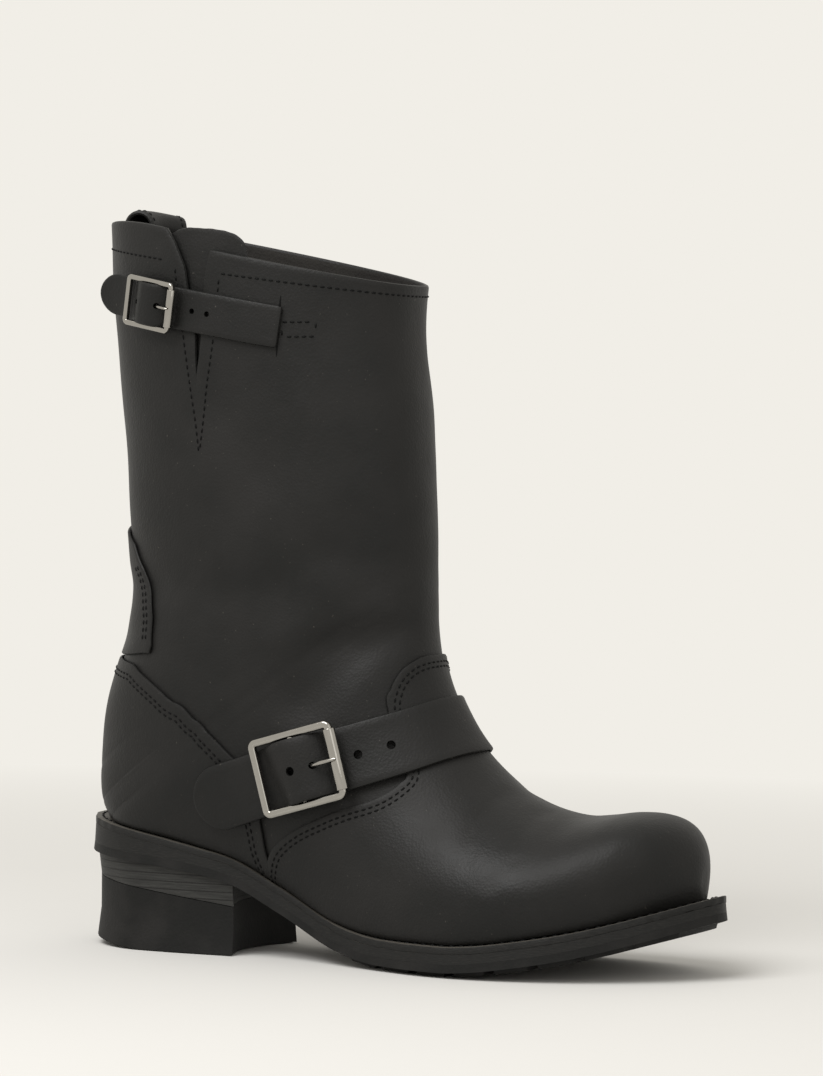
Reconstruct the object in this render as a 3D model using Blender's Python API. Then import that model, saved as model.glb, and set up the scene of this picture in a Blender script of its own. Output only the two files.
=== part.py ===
"""A plain black engineer boot for the right foot.

The upper is one hollow leather shell, worked out from the sections of the last. Its overlays,
straps and buckles are laid on the same sections. The sole is built up as a real one is: welt,
midsole, rubber outsole, a wedge of stacked leather and a rubber heel.

Metres, +Z up. +X is the outer side of the foot and +Y the toe. The origin is on the floor,
under the middle of the heel.
"""

import math

import bmesh
import bpy
import numpy as np

# Sole
sole_length = 0.288
ball_width = 0.0995
seat_width = 0.0690
heel_back = 0.040
seat_rise = 0.0424
toe_spring = 0.0215
outsole_thick = 0.0052
tread_depth = 0.0018
midsole_thick = 0.0034
seat_rand = 0.0040
welt_thick = 0.0030
welt_margin = 0.0068
toe_margin = 0.0105
edge_slope = 0.0008
layer_gap = 0.0003
feather_gap = 0.0006
insole_gap = 0.0015
insole_thick = 0.0030
insole_seat = 0.0060
tread_margin = 0.0032
lug_length = 0.0140
lug_groove = 0.0035

# Heel
heel_length = 0.0815
breast_hollow = 0.0070
breast_height = 0.0200
lift_slope = 0.125
heel_inset = 0.0034
heel_flare = 0.0014
stack_inset = 0.0022
heel_bevel = 0.0042
bevel_length = 0.036

# Upper
wall = 0.0022
overlay_thick = 0.0014
instep_height = 0.142
rim_height = 0.3056
rim_drop = 0.0270
shaft_width = 0.0910
gusset_thick = 0.0012
gusset_rise = 0.0105

# Straps and buckles
strap_thick = 0.0019
instep_strap_width = 0.0250
collar_strap_width = 0.0155
chape_thick = 0.0013
instep_buckle_length = 0.0390
instep_buckle_width = 0.0335
collar_buckle_length = 0.0270
collar_buckle_width = 0.0215
instep_bar = 0.0017
collar_bar = 0.0012
bar_gap = 0.0003
loop_width = 0.036
loop_rise = 0.0038
loop_span = 0.0095
loop_drop = 0.024
loop_thick = 0.0022

clearance = 0.0003
ball_stack = welt_thick + midsole_thick + outsole_thick + 2 * layer_gap

# How finely the solids are faceted
upper_columns = 24
upper_rows = 35
loop_points = 100
sole_stations = 44

# Outline of the sole: share of its length from the back, share of its width at the seat or the ball
OUTLINE = (
    # along, across
    (0.000, 0.000),
    (0.030, 0.295),
    (0.090, 0.465),
    (0.170, 0.500),
    (0.280, 0.478),
    (0.400, 0.400),
    (0.520, 0.425),
    (0.640, 0.512),
    (0.760, 0.488),
    (0.870, 0.368),
    (0.950, 0.195),
    (1.000, -0.055),
    (0.968, -0.275),
    (0.890, -0.430),
    (0.780, -0.500),
    (0.680, -0.488),
    (0.560, -0.400),
    (0.440, -0.322),
    (0.330, -0.375),
    (0.200, -0.470),
    (0.100, -0.455),
    (0.030, -0.290),
)

# Height of the welt above the ball: share of the sole's length, share of seat_rise
SEAT_LINE = (
    # along, rise
    (0.00, 1.000),
    (0.06, 0.955),
    (0.14, 0.870),
    (0.22, 0.765),
    (0.285, 0.660),
    (0.36, 0.415),
    (0.45, 0.125),
    (0.53, 0.012),
    (0.58, 0.000),
    (1.00, 0.000),
)

# Spring of the toe: share of the sole's length, share of toe_spring
SPRING_LINE = (
    # along, rise
    (0.00, 0.00),
    (0.66, 0.00),
    (0.70, 0.045),
    (0.75, 0.14),
    (0.85, 0.40),
    (0.92, 0.66),
    (1.00, 1.00),
)

# Sections of the foot, toe to heel. front: its top point, along as a share of sole_length and up
# from the welt as a share of instep_height. base: where its plane meets the sole. outer and inner:
# how far it swells beyond its line on the welt, as shares of ball_width. widest: how far up it is
# widest. low and up: exponents of its two curves. ridge: sideways shift of its top, a share of
# ball_width.
FOOT_SECTIONS = (
    # place, front, crown, base, outer, inner, widest, low, up, ridge
    (0.00, 0.9639, 0.040, 0.9635, 0.002, 0.002, 0.40, 2.2, 2.00, -0.050),
    (0.25, 0.9660, 0.102, 0.9597, 0.009, 0.009, 0.40, 2.2, 2.10, -0.050),
    (0.60, 0.9604, 0.157, 0.9472, 0.016, 0.014, 0.40, 2.2, 2.10, -0.055),
    (1.00, 0.9472, 0.204, 0.9271, 0.020, 0.017, 0.38, 2.2, 2.20, -0.060),
    (1.50, 0.9257, 0.245, 0.8993, 0.024, 0.019, 0.38, 2.2, 2.30, -0.060),
    (2.00, 0.8986, 0.274, 0.8681, 0.028, 0.021, 0.38, 2.2, 2.30, -0.060),
    (2.60, 0.8646, 0.294, 0.8333, 0.033, 0.024, 0.38, 2.2, 2.20, -0.060),
    (3.30, 0.8264, 0.301, 0.7951, 0.039, 0.028, 0.38, 2.2, 2.10, -0.060),
    (4.00, 0.7882, 0.310, 0.7535, 0.044, 0.031, 0.36, 2.2, 2.00, -0.060),
    (4.80, 0.7431, 0.339, 0.7083, 0.050, 0.036, 0.36, 2.2, 1.95, -0.060),
    (5.60, 0.7014, 0.381, 0.6493, 0.043, 0.056, 0.36, 2.2, 1.90, -0.055),
    (6.40, 0.6632, 0.436, 0.5868, 0.060, 0.081, 0.36, 2.2, 1.90, -0.050),
    (7.20, 0.6285, 0.505, 0.5208, 0.082, 0.109, 0.37, 2.2, 1.90, -0.040),
    (8.00, 0.5990, 0.583, 0.4479, 0.117, 0.145, 0.38, 2.2, 1.90, -0.030),
    (8.80, 0.5764, 0.667, 0.3715, 0.131, 0.157, 0.40, 2.2, 1.95, -0.020),
    (9.60, 0.5608, 0.751, 0.2917, 0.118, 0.150, 0.43, 2.3, 2.00, -0.010),
    (10.4, 0.5521, 0.836, 0.2118, 0.106, 0.117, 0.46, 2.3, 2.10, 0.000),
    (11.2, 0.5486, 0.913, 0.1319, 0.112, 0.121, 0.48, 2.4, 2.10, 0.000),
    (11.8, 0.5479, 0.969, 0.0694, 0.179, 0.188, 0.50, 2.4, 2.15, 0.000),
    (12.2, 0.5472, 1.004, 0.0382, 0.277, 0.278, 0.50, 2.3, 2.15, 0.000),
    (12.35, 0.5471, 1.016, 0.0285, 0.337, 0.338, 0.50, 2.2, 2.15, 0.000),
    (12.5, 0.5470, 1.028, 0.0238, 0.392, 0.392, 0.50, 2.2, 2.15, 0.000),
)

# Closed sections of the shaft, heel to rim. front and base: along as shares of sole_length, and
# up as shares of what is left above the instep and above the heel seat. half: half width as a
# share of shaft_width.
SHAFT_SECTIONS = (
    # place, front, front_up, base, base_up, half, up
    (13.0, 0.5462, 0.168, 0.0215, 0.050, 0.442, 2.15),
    (13.7, 0.5451, 0.227, 0.0222, 0.110, 0.446, 2.20),
    (14.4, 0.5434, 0.285, 0.0292, 0.170, 0.451, 2.20),
    (15.2, 0.5417, 0.351, 0.0458, 0.234, 0.455, 2.20),
    (16.0, 0.5399, 0.417, 0.0660, 0.297, 0.460, 2.20),
    (16.8, 0.5382, 0.483, 0.0757, 0.357, 0.466, 2.20),
    (17.6, 0.5354, 0.557, 0.0712, 0.421, 0.471, 2.20),
    (18.6, 0.5319, 0.645, 0.0653, 0.508, 0.478, 2.20),
    (19.6, 0.5271, 0.725, 0.0604, 0.600, 0.484, 2.20),
    (20.6, 0.5215, 0.806, 0.0528, 0.691, 0.489, 2.20),
    (21.6, 0.5184, 0.879, 0.0431, 0.787, 0.495, 2.20),
    (22.6, 0.5188, 0.945, 0.0347, 0.891, 0.498, 2.20),
    (23.6, 0.5215, 1.000, 0.0292, 1.000, 0.500, 2.20),
)
SHAFT_LOW = 2.2
SHAFT_WIDEST = 0.50
LOW_SHARE = 0.45

# Edges of the overlays seen from the side: along as a share of sole_length from the back,
# up as a share of rim_height
VAMP_EDGE = (
    # along, up
    (0.3430, 0.040),
    (0.3490, 0.130),
    (0.3680, 0.155),
    (0.4100, 0.182),
    (0.4720, 0.208),
    (0.5290, 0.225),
    (0.5560, 0.243),
    (0.5630, 0.266),
    (0.5420, 0.311),
    (0.5260, 0.347),
    (0.5280, 0.373),
    (0.5370, 0.395),
    (0.5490, 0.410),
    (0.5700, 0.416),
    (0.6600, 0.420),
)
COUNTER_EDGE = (
    # along, up
    (-0.0600, 0.404),
    (0.1080, 0.401),
    (0.1560, 0.380),
    (0.1910, 0.360),
    (0.2600, 0.316),
    (0.3060, 0.266),
    (0.3320, 0.216),
    (0.3400, 0.170),
    (0.3390, 0.060),
)
# Half of the backstay seen from behind: half width as a share of shaft_width, up as a share of rim_height
BACKSTAY_EDGE = (
    # half, up
    (0.395, 0.370),
    (0.395, 0.420),
    (0.380, 0.458),
    (0.357, 0.491),
    (0.330, 0.524),
    (0.285, 0.556),
    (0.198, 0.573),
    (0.088, 0.581),
)

# Middle lines of the straps on the upper: across from the outer side, along from toe to rim
INSTEP_STRAP = (
    # across, along
    (0.140, 0.4560),
    (0.160, 0.4470),
    (0.240, 0.4130),
    (0.310, 0.3860),
    (0.390, 0.3600),
    (0.500, 0.3450),
    (0.610, 0.3600),
    (0.690, 0.3860),
    (0.760, 0.4130),
    (0.850, 0.4520),
)
COLLAR_STRAP = (
    # across, along
    (0.096, 0.9567),
    (0.118, 0.9545),
    (0.160, 0.9490),
    (0.200, 0.9430),
    (0.245, 0.9330),
    (0.288, 0.9235),
)
instep_chape_length = 0.030
collar_chape_length = 0.018
instep_tail_radius = 1.0
collar_tail_radius = 0.026
instep_buckle_at = 0.240
collar_buckle_at = 0.166
NOTCH_ACROSS = (0.176, 0.2000, 0.222)
NOTCH_ALONG = 0.885
# Outline of the gusset from the side: along as a share of sole_length from the back, up as a share of rim_height
GUSSET_EDGE = (
    # along, up
    (0.150, 0.780),
    (0.150, 0.962),
    (0.180, 0.976),
    (0.210, 0.988),
    (0.250, 0.988),
    (0.285, 0.984),
    (0.312, 0.972),
    (0.322, 0.945),
    (0.322, 0.780),
)
LOOP_ACROSS = 0.968


def curve(known, values, wanted):
    """Smooth curve through a table: cubics whose slopes at a row come from its two neighbours."""
    known = np.asarray(known, float)
    values = np.asarray(values, float)
    wanted = np.asarray(wanted, float)
    if values.ndim == 1:
        return curve(known, values[:, None], wanted)[..., 0]
    steps = np.diff(known)[:, None]
    rises = np.diff(values, axis=0) / steps
    slopes = np.empty_like(values)
    slopes[0] = rises[0]
    slopes[-1] = rises[-1]
    slopes[1:-1] = (rises[:-1] * steps[1:] + rises[1:] * steps[:-1]) / (steps[:-1] + steps[1:])
    cell = np.clip(np.searchsorted(known, wanted, side="right") - 1, 0, len(known) - 2)
    width = steps[cell]
    t = (wanted - known[cell])[..., None] / width
    return (
        values[cell] * (1 + 2 * t) * (1 - t) ** 2
        + values[cell + 1] * t**2 * (3 - 2 * t)
        + slopes[cell] * width * t * (1 - t) ** 2
        + slopes[cell + 1] * width * t**2 * (t - 1)
    )


def table_curve(table, wanted):
    table = np.array(table)
    return curve(table[:, 0], table[:, 1], wanted)


def blend(low, high, value):
    """0 before low, 1 after high, smooth between."""
    t = np.clip((value - low) / (high - low), 0.0, 1.0)
    return t * t * (3 - 2 * t)


def unit(vectors):
    vectors = np.asarray(vectors, float)
    return vectors / np.maximum(np.linalg.norm(vectors, axis=-1, keepdims=True), 1e-12)


# The sole's outline and heights


def outline_loop(inset, toe_inset, count=400):
    """Closed loop round the sole moved inwards, as x and distance from the back."""
    table = np.array(OUTLINE)
    width = seat_width + (ball_width - seat_width) * blend(0.30, 0.52, table[:, 0])
    points = np.stack([table[:, 1] * width, table[:, 0] * sole_length], axis=1)
    points = np.vstack([points[-3:], points, points[:4]])
    reach = np.concatenate([[0.0], np.cumsum(np.hypot(*np.diff(points, axis=0).T))])
    wanted = reach[3] + (reach[-4] - reach[3]) * np.arange(count) / count
    loop = curve(reach, points, wanted)
    along = unit(np.roll(loop, -1, axis=0) - np.roll(loop, 1, axis=0))
    outward = np.stack([along[:, 1], -along[:, 0]], axis=1)
    depth = inset + (toe_inset - inset) * blend(0.86, 0.99, loop[:, 1] / sole_length)
    return loop - outward * depth[:, None]


def half_widths(loop, s):
    """x of the loop's outer and inner side at the distance s from the back."""
    loop = np.roll(loop, -loop[:, 1].argmin(), axis=0)
    tip = loop[:, 1].argmax()
    outer = loop[: tip + 1]
    inner = np.vstack([loop[tip:], loop[:1]])[::-1]
    return np.interp(s, outer[:, 1], outer[:, 0]), np.interp(s, inner[:, 1], inner[:, 0])


def welt_top(s):
    share = np.asarray(s) / sole_length
    seat = np.maximum(table_curve(SEAT_LINE, share), 0.0)
    spring = np.maximum(table_curve(SPRING_LINE, share), 0.0)
    return ball_stack + seat_rise * seat + toe_spring * spring


def midsole_top(s):
    return welt_top(s) - welt_thick - layer_gap


def outsole_top(s):
    rand = seat_rand * (1 - blend(0.02, 0.26, np.asarray(s) / sole_length))
    return midsole_top(s) - midsole_thick - rand - layer_gap


def outsole_base(s):
    """Underside of the outsole between its lugs."""
    return outsole_top(s) - outsole_thick + tread_depth


def lift_top(s):
    return breast_height + lift_slope * (heel_length - s)


def lift_bottom(s):
    """Flat on the floor in front, worn away in a bevel at the back."""
    return heel_bevel * np.clip(1 - s / bevel_length, 0, 1) ** 1.4


# The upper's function

FEATHER = outline_loop(welt_margin, toe_margin)


def section_values(place):
    """Values of the section at a place: front and base points, half widths and exponents, in metres."""
    foot = np.array(FOOT_SECTIONS)
    shaft = np.array(SHAFT_SECTIONS)
    seat = welt_top(0.0)
    rim_front = rim_height - rim_drop
    front_s = np.concatenate([foot[:, 1], shaft[:, 1]]) * sole_length
    foot_front_z = welt_top(foot[:, 1] * sole_length) + foot[:, 2] * instep_height
    shaft_front_z = instep_height + shaft[:, 2] * (rim_front - instep_height)
    base_s = np.concatenate([foot[:, 3], shaft[:, 3]]) * sole_length
    foot_base_z = welt_top(foot[:, 3] * sole_length) + feather_gap
    shaft_base_z = seat + shaft[:, 4] * (rim_height - seat)
    even = np.ones(len(shaft))
    foot_outer, foot_inner = half_widths(FEATHER, foot[:, 3] * sole_length)
    columns = [
        front_s,
        np.concatenate([foot_front_z, shaft_front_z]),
        base_s,
        np.concatenate([foot_base_z, shaft_base_z]),
        np.concatenate([foot_outer + foot[:, 4] * ball_width, shaft[:, 5] * shaft_width]),
        np.concatenate([foot[:, 5] * ball_width - foot_inner, shaft[:, 5] * shaft_width]),
        np.concatenate([foot[:, 6], even * SHAFT_WIDEST]),
        np.concatenate([foot[:, 7], even * SHAFT_LOW]),
        np.concatenate([foot[:, 8], shaft[:, 6]]),
        np.concatenate([foot[:, 9] * ball_width, even * 0.0]),
    ]
    places = np.concatenate([foot[:, 0], shaft[:, 0]])
    return np.moveaxis(curve(places, np.stack(columns, axis=1), place), -1, 0)


LAST_PLACE = SHAFT_SECTIONS[-1][0]
HEEL_PLACE = FOOT_SECTIONS[-1][0]
VAMP_PLACES = (-1.0, 11.6)
COUNTER_PLACES = (7.6, 17.5)
BACKSTAY_PLACES = (10.2, 21.0)


def upper_point(across, along):
    """Point on the upper's outer face.

    along, 0 to 1, picks a plane through the boot, from the toe's tip back over the foot and up
    to the rim. across, 0 to 1, goes round it from the outer side over the top to the inner side.
    A section starts at the sole with the sole's own half width, swells to its widest height and
    closes to its top point, both as superellipse quarters. Behind the heel its start width is nil.
    """
    across, along = np.broadcast_arrays(np.asarray(across, float), np.asarray(along, float))
    beyond = np.maximum(along - 1.0, 0.0)
    place = np.minimum(along, 1.0) * LAST_PLACE
    front_s, front_z, base_s, base_z, outer, inner, widest, low, up, ridge = section_values(place)
    on_sole = place <= HEEL_PLACE
    base_z = np.where(on_sole, welt_top(base_s) + feather_gap, base_z)
    sole_outer, sole_inner = half_widths(FEATHER, base_s)
    middle = (outer - inner) / 2 * (1 - blend(2.0, 4.0, place))
    on_outer = across <= 0.5
    side = np.where(on_outer, 1.0, -1.0)
    start = np.where(on_sole, np.where(on_outer, sole_outer, sole_inner), 0.0)
    half = np.where(on_outer, outer, -inner)
    half = np.where((half - start) * side > clearance, half, start + side * clearance)
    step = np.where(on_outer, 2 * across, 2 - 2 * across)
    low_turn = np.clip(step / LOW_SHARE, 0, 1) * math.pi / 2
    up_turn = np.clip((step - LOW_SHARE) / (1 - LOW_SHARE), 0, 1) * math.pi / 2
    low_x = start + (half - start) * np.abs(np.sin(low_turn)) ** (2 / low)
    low_r = widest * (1 - np.abs(np.cos(low_turn)) ** (2 / low))
    up_x = middle + (half - middle) * np.abs(np.cos(up_turn)) ** (2 / up)
    up_r = widest + (1 - widest) * np.abs(np.sin(up_turn)) ** (2 / up)
    is_low = step < LOW_SHARE
    r = np.where(is_low, low_r, up_r)
    x = np.where(is_low, low_x, up_x) + (ridge - middle) * r**2
    y = base_s + (front_s - base_s) * r - heel_back
    z = base_z + (front_z - base_z) * r + beyond * rim_height
    return np.stack([x, y, z], axis=-1)


def upper_frame(across, along):
    """Point, its two tangents and its outward normal on the upper's outer face."""
    small = 1e-4
    here = upper_point(across, along)
    by_across = (upper_point(across + small, along) - upper_point(across - small, along)) / (2 * small)
    by_along = (here - upper_point(across, along - small)) / small
    return here, by_across, by_along, unit(np.cross(by_across, by_along))


def walk(across, along, direction, distance, steps=5):
    """Parameters reached by going a distance over the upper, keeping as near a direction as its slope lets."""
    for _ in range(steps):
        _, by_across, by_along, normal = upper_frame(across, along)
        heading = unit(direction - (direction * normal).sum(-1, keepdims=True) * normal)
        move = heading * (distance / steps)[..., None]
        aa = (by_across * by_across).sum(-1)
        bb = (by_along * by_along).sum(-1)
        ab = (by_across * by_along).sum(-1)
        am = (by_across * move).sum(-1)
        bm = (by_along * move).sum(-1)
        spread = aa * bb - ab * ab
        across = across + (am * bb - bm * ab) / spread
        along = along + (bm * aa - am * ab) / spread
    return across, along


# Mesh helpers


def clear_scene():
    for old in list(bpy.data.objects):
        bpy.data.objects.remove(old, do_unlink=True)


def make_material(name, colour, roughness, metallic=0.0):
    material = bpy.data.materials.new(name)
    material.use_nodes = True
    shader = material.node_tree.nodes["Principled BSDF"]
    shader.inputs["Base Color"].default_value = (*colour, 1.0)
    shader.inputs["Roughness"].default_value = roughness
    shader.inputs["Metallic"].default_value = metallic
    return material


def weld(points, faces):
    """Points closer than a micrometre made one, and faces that lose an edge made smaller or dropped."""
    _, first, index = np.unique(
        np.round(points * 1e6).astype(np.int64), axis=0, return_index=True, return_inverse=True
    )
    index = index.reshape(-1)
    kept = []
    for face in faces:
        corners = []
        for corner in index[list(face)]:
            if corner not in corners:
                corners.append(int(corner))
        if len(corners) > 2:
            kept.append(corners)
    return points[first], kept


def add_object(name, points, faces, material):
    points, faces = weld(np.asarray(points, float).reshape(-1, 3), faces)
    mesh = bpy.data.meshes.new(name)
    mesh.from_pydata(points.tolist(), [], faces)
    work = bmesh.new()
    work.from_mesh(mesh)
    bmesh.ops.recalc_face_normals(work, faces=work.faces)
    bmesh.ops.triangulate(work, faces=work.faces)
    work.to_mesh(mesh)
    work.free()
    mesh.shade_smooth()
    mesh.set_sharp_from_angle(angle=math.radians(40))
    mesh.materials.append(material)
    made = bpy.data.objects.new(name, mesh)
    bpy.context.scene.collection.objects.link(made)
    return made


def grid_faces(rows, columns, start=0):
    """Quads of a grid of points stored row by row."""
    row, column = np.meshgrid(np.arange(rows - 1), np.arange(columns - 1), indexing="ij")
    corner = (start + row * columns + column).ravel()
    return np.stack([corner, corner + 1, corner + columns + 1, corner + columns], axis=1).tolist()


def boundary_of(faces):
    """Edges that only one face has, in that face's direction."""
    seen = {}
    for face in faces:
        for first, second in zip(face, face[1:] + face[:1]):
            seen[(first, second)] = True
    return [edge for edge in seen if (edge[1], edge[0]) not in seen]


def thick_sheet(name, grid, inner, outer, material, on_welt=None):
    """Closed solid between two offsets of a grid of points.

    on_welt marks the points that stand on the welt: they move level, and stay on its slope.
    """
    rows, columns = grid.shape[:2]
    flags = np.zeros((rows, columns), bool) if on_welt is None else on_welt
    faces = grid_faces(rows, columns)
    points, faces = weld(grid.reshape(-1, 3), faces)
    key = {tuple(p): i for i, p in enumerate(np.round(points * 1e6).astype(np.int64).tolist())}
    level = np.zeros(len(points), bool)
    for point in grid[flags]:
        level[key[tuple(np.round(point * 1e6).astype(np.int64).tolist())]] = True
    normals = np.zeros_like(points)
    for face in faces:
        corners = points[face]
        spans = corners - np.roll(corners, 1, axis=0)
        area = np.cross(spans, np.roll(spans, -1, axis=0)).sum(axis=0)
        normals[face] += area
    normals = unit(normals)
    normals[level, 2] = 0.0
    normals = unit(normals)
    layers = []
    for offset in (outer, inner):
        layer = points + normals * offset
        lowest = welt_top(layer[:, 1] + heel_back) + feather_gap
        layer[:, 2] = np.where(level, lowest, np.maximum(layer[:, 2], lowest))
        layers.append(layer)
    count = len(points)
    solid = [list(face) for face in faces]
    solid += [[corner + count for corner in reversed(face)] for face in faces]
    for first, second in boundary_of(faces):
        solid.append([second, first, first + count, second + count])
    return add_object(name, np.vstack(layers), solid, material)


def stacked_solid(name, levels, material):
    """Closed solid through grids of points, highest first: its walls join their rims."""
    rows, columns = levels[0].shape[:2]
    count = rows * columns
    index = np.arange(count).reshape(rows, columns)
    rim = list(index[0]) + list(index[1:, -1]) + list(index[-1, -2::-1]) + list(index[-2:0:-1, 0])
    faces = grid_faces(rows, columns)
    last = (len(levels) - 1) * count
    faces += [[corner + last for corner in reversed(face)] for face in grid_faces(rows, columns)]
    for level in range(len(levels) - 1):
        for first, second in zip(rim, rim[1:] + rim[:1]):
            a = int(first) + level * count
            b = int(second) + level * count
            faces.append([b, a, a + count, b + count])
    return add_object(name, np.concatenate([level.reshape(-1, 3) for level in levels]), faces, material)


def prism(name, outline, axis, low, high):
    """Cutter: an outline carried along X or Y. Its points are (y, z) along X and (x, z) along Y."""
    outline = np.asarray(outline, float)
    ends = []
    for reach in (low, high):
        level = np.full(len(outline), reach)
        if axis == "X":
            ends.append(np.stack([level, outline[:, 0], outline[:, 1]], axis=1))
        else:
            ends.append(np.stack([outline[:, 0], level, outline[:, 1]], axis=1))
    count = len(outline)
    faces = [list(range(count)), list(range(2 * count - 1, count - 1, -1))]
    faces += [[i, i + count, (i + 1) % count + count, (i + 1) % count] for i in range(count)]
    cutter = add_object(name, np.vstack(ends), faces, bpy.data.materials[0])
    cutter.hide_render = True
    cutter.display_type = "WIRE"
    return cutter


def cut(target, cutter, operation):
    modifier = target.modifiers.new(cutter.name, "BOOLEAN")
    modifier.operation = operation
    modifier.object = cutter


# Sole pieces


def sole_grid(inset, toe_inset, stations, columns, height):
    """Grid over the sole's outline: rows from back to toe, columns from the outer to the inner side."""
    loop = outline_loop(inset, toe_inset)
    s = loop[:, 1].min() + (loop[:, 1].max() - loop[:, 1].min()) * stations
    outer, inner = half_widths(loop, s)
    share = np.linspace(0, 1, columns)
    x = outer[:, None] + (inner - outer)[:, None] * share
    y = np.broadcast_to((s - heel_back)[:, None], x.shape)
    z = np.broadcast_to(height(s)[:, None], x.shape)
    return np.stack([x, y, z], axis=-1)


def round_stations(count):
    return (1 - np.cos(np.linspace(0, math.pi, count))) / 2


def make_welt(material):
    """Strip round the whole sole, which the upper is sewn to."""
    loops = []
    for inset, toe_inset, drop in (
        (edge_slope * 2, edge_slope * 3, 0.0),
        (edge_slope, edge_slope * 2, welt_thick),
        (welt_margin + wall + insole_seat, toe_margin + wall + insole_seat, welt_thick),
        (welt_margin + wall + insole_seat, toe_margin + wall + insole_seat, 0.0),
    ):
        loop = outline_loop(inset, toe_inset, loop_points)
        loops.append(np.stack([loop[:, 0], loop[:, 1] - heel_back, welt_top(loop[:, 1]) - drop], axis=1))
    faces = []
    for ring in range(4):
        for i in range(loop_points):
            j = (i + 1) % loop_points
            a, b = ring * loop_points, (ring + 1) % 4 * loop_points
            faces.append([a + i, a + j, b + j, b + i])
    return add_object("welt", np.vstack(loops), faces, material)


def make_midsole(material):
    stations = round_stations(sole_stations)
    top = sole_grid(edge_slope, edge_slope * 2, stations, 2, midsole_top)
    bottom = sole_grid(edge_slope / 2, edge_slope, stations, 2, lambda s: outsole_top(s) + layer_gap)
    return stacked_solid("midsole", [top, bottom], material)


def tread_stations():
    """Rows of the outsole: round at the heel, then four for each lug from the waist to the toe."""
    pitch = lug_length + lug_groove
    wall_run = tread_depth / 3
    back = heel_length * 1.55
    front = sole_length - tread_margin * 2.4
    lugs = int((front - back) / pitch)
    starts = front - pitch * np.arange(lugs, 0, -1)
    rows = np.stack(
        [starts, starts + wall_run, starts + lug_length - wall_run, starts + lug_length], axis=1
    ).ravel()
    heel_rows = back * (1 - np.cos(np.linspace(0, math.pi / 2, 18)))
    tip_rows = sole_length - (sole_length - rows[-1]) * np.cos(np.linspace(0, math.pi / 2, 5))[1:]
    s = np.concatenate([heel_rows, rows, tip_rows])
    deep = np.concatenate([heel_rows * 0, np.tile([0.0, 1.0, 1.0, 0.0], lugs), tip_rows * 0])
    return s, deep


def make_outsole(material):
    """Rubber sole with low cross lugs under the forefoot, set in from its edge."""
    s, deep = tread_stations()
    stations = s / sole_length
    shares = np.array([0.0, 0.0, 0.0, 1.0, 1.0, 1.0])
    top = sole_grid(edge_slope / 2, edge_slope, stations, 6, outsole_top)
    bottom = sole_grid(0.0, 0.0, stations, 6, outsole_base)
    for grid in (top, bottom):
        outer = grid[:, :1, 0]
        inner = grid[:, -1:, 0]
        margin = np.minimum(tread_margin, (outer - inner) * 0.3)
        slope = np.minimum(tread_depth / 3, (outer - inner) * 0.1)
        into = np.concatenate([margin * 0, margin, margin + slope, -margin - slope, -margin, margin * 0], axis=1)
        grid[..., 0] = outer + (inner - outer) * shares + into * -1.0
    bottom[:, 2:4, 2] -= (tread_depth * deep)[:, None]
    return stacked_solid("outsole", [top, bottom], material)


def heel_grid(inset, height, rows=13, columns=7):
    """Grid over the heel: its rows bend into the hollow of the breast."""
    loop = outline_loop(inset, inset)
    back = loop[:, 1].min()
    share = 1 - np.cos(np.linspace(0, math.pi / 2, rows))
    s = back + (heel_length - back) * share
    outer, inner = half_widths(loop, s)
    across = np.linspace(0, 1, columns)
    x = outer[:, None] + (inner - outer)[:, None] * across
    bend = breast_hollow * (share**2)[:, None] * (1 - (2 * across - 1) ** 2)
    depth = s[:, None] - bend
    return np.stack([x, depth - heel_back, height(depth)], axis=-1)


def make_heel_stack(material):
    top = heel_grid(stack_inset, lambda s: outsole_base(s) - clearance)
    bottom = heel_grid(heel_inset, lambda s: lift_top(s) + clearance)
    return stacked_solid("heel_stack", [top, bottom], material)


def make_heel_lift(material):
    levels = []
    for share, inset in ((1.0, heel_inset), (0.45, heel_inset), (0.0, heel_inset - heel_flare)):
        levels.append(
            heel_grid(inset, lambda s, share=share: lift_bottom(s) + share * (lift_top(s) - lift_bottom(s)))
        )
    return stacked_solid("heel_lift", levels, material)


def make_insole(material):
    stations = round_stations(sole_stations)
    inset = welt_margin + wall + insole_gap
    toe_inset = toe_margin + wall + insole_gap
    top = sole_grid(inset, toe_inset, stations, 2, lambda s: welt_top(s) + layer_gap + insole_thick)
    bottom = sole_grid(inset, toe_inset, stations, 2, lambda s: welt_top(s) + layer_gap)
    return stacked_solid("insole", [top, bottom], material)


# Upper and overlays


def along_rows():
    """Places of the upper's rows: close at the blunt toe and where the heel closes."""
    near_toe = np.array([0.0, 0.25, 0.6, 1.0, 1.5])
    to_heel = np.array([2.1, 2.8, 3.5, 4.2, 4.9, 5.6, 6.3, 7.0, 7.7, 8.3, 8.9, 9.4, 9.9, 10.4, 10.9, 11.6])
    round_heel = np.array([12.2, 12.33, 12.43, HEEL_PLACE])
    to_rim = np.linspace(13.1, LAST_PLACE, upper_rows - 25)
    return np.concatenate([near_toe, to_heel, round_heel, to_rim]) / LAST_PLACE


def upper_sheet():
    """Grid of the whole upper, and which of its points stand on the welt."""
    along = along_rows()
    across = np.linspace(0, 1, upper_columns + 1)
    grid = upper_point(across[None, :], along[:, None])
    on_welt = np.zeros(grid.shape[:2], bool)
    sole_rows = along * LAST_PLACE <= HEEL_PLACE + 1e-9
    on_welt[sole_rows, 0] = True
    on_welt[sole_rows, -1] = True
    on_welt[0] = True
    closed = along * LAST_PLACE >= HEEL_PLACE - 1e-9
    grid[closed, -1] = grid[closed, 0]
    grid[0] = grid[0, :1]
    return grid, on_welt


def side_outline(edge):
    edge = np.array(edge)
    return np.stack([edge[:, 0] * sole_length - heel_back, edge[:, 1] * rim_height], axis=1)


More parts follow.
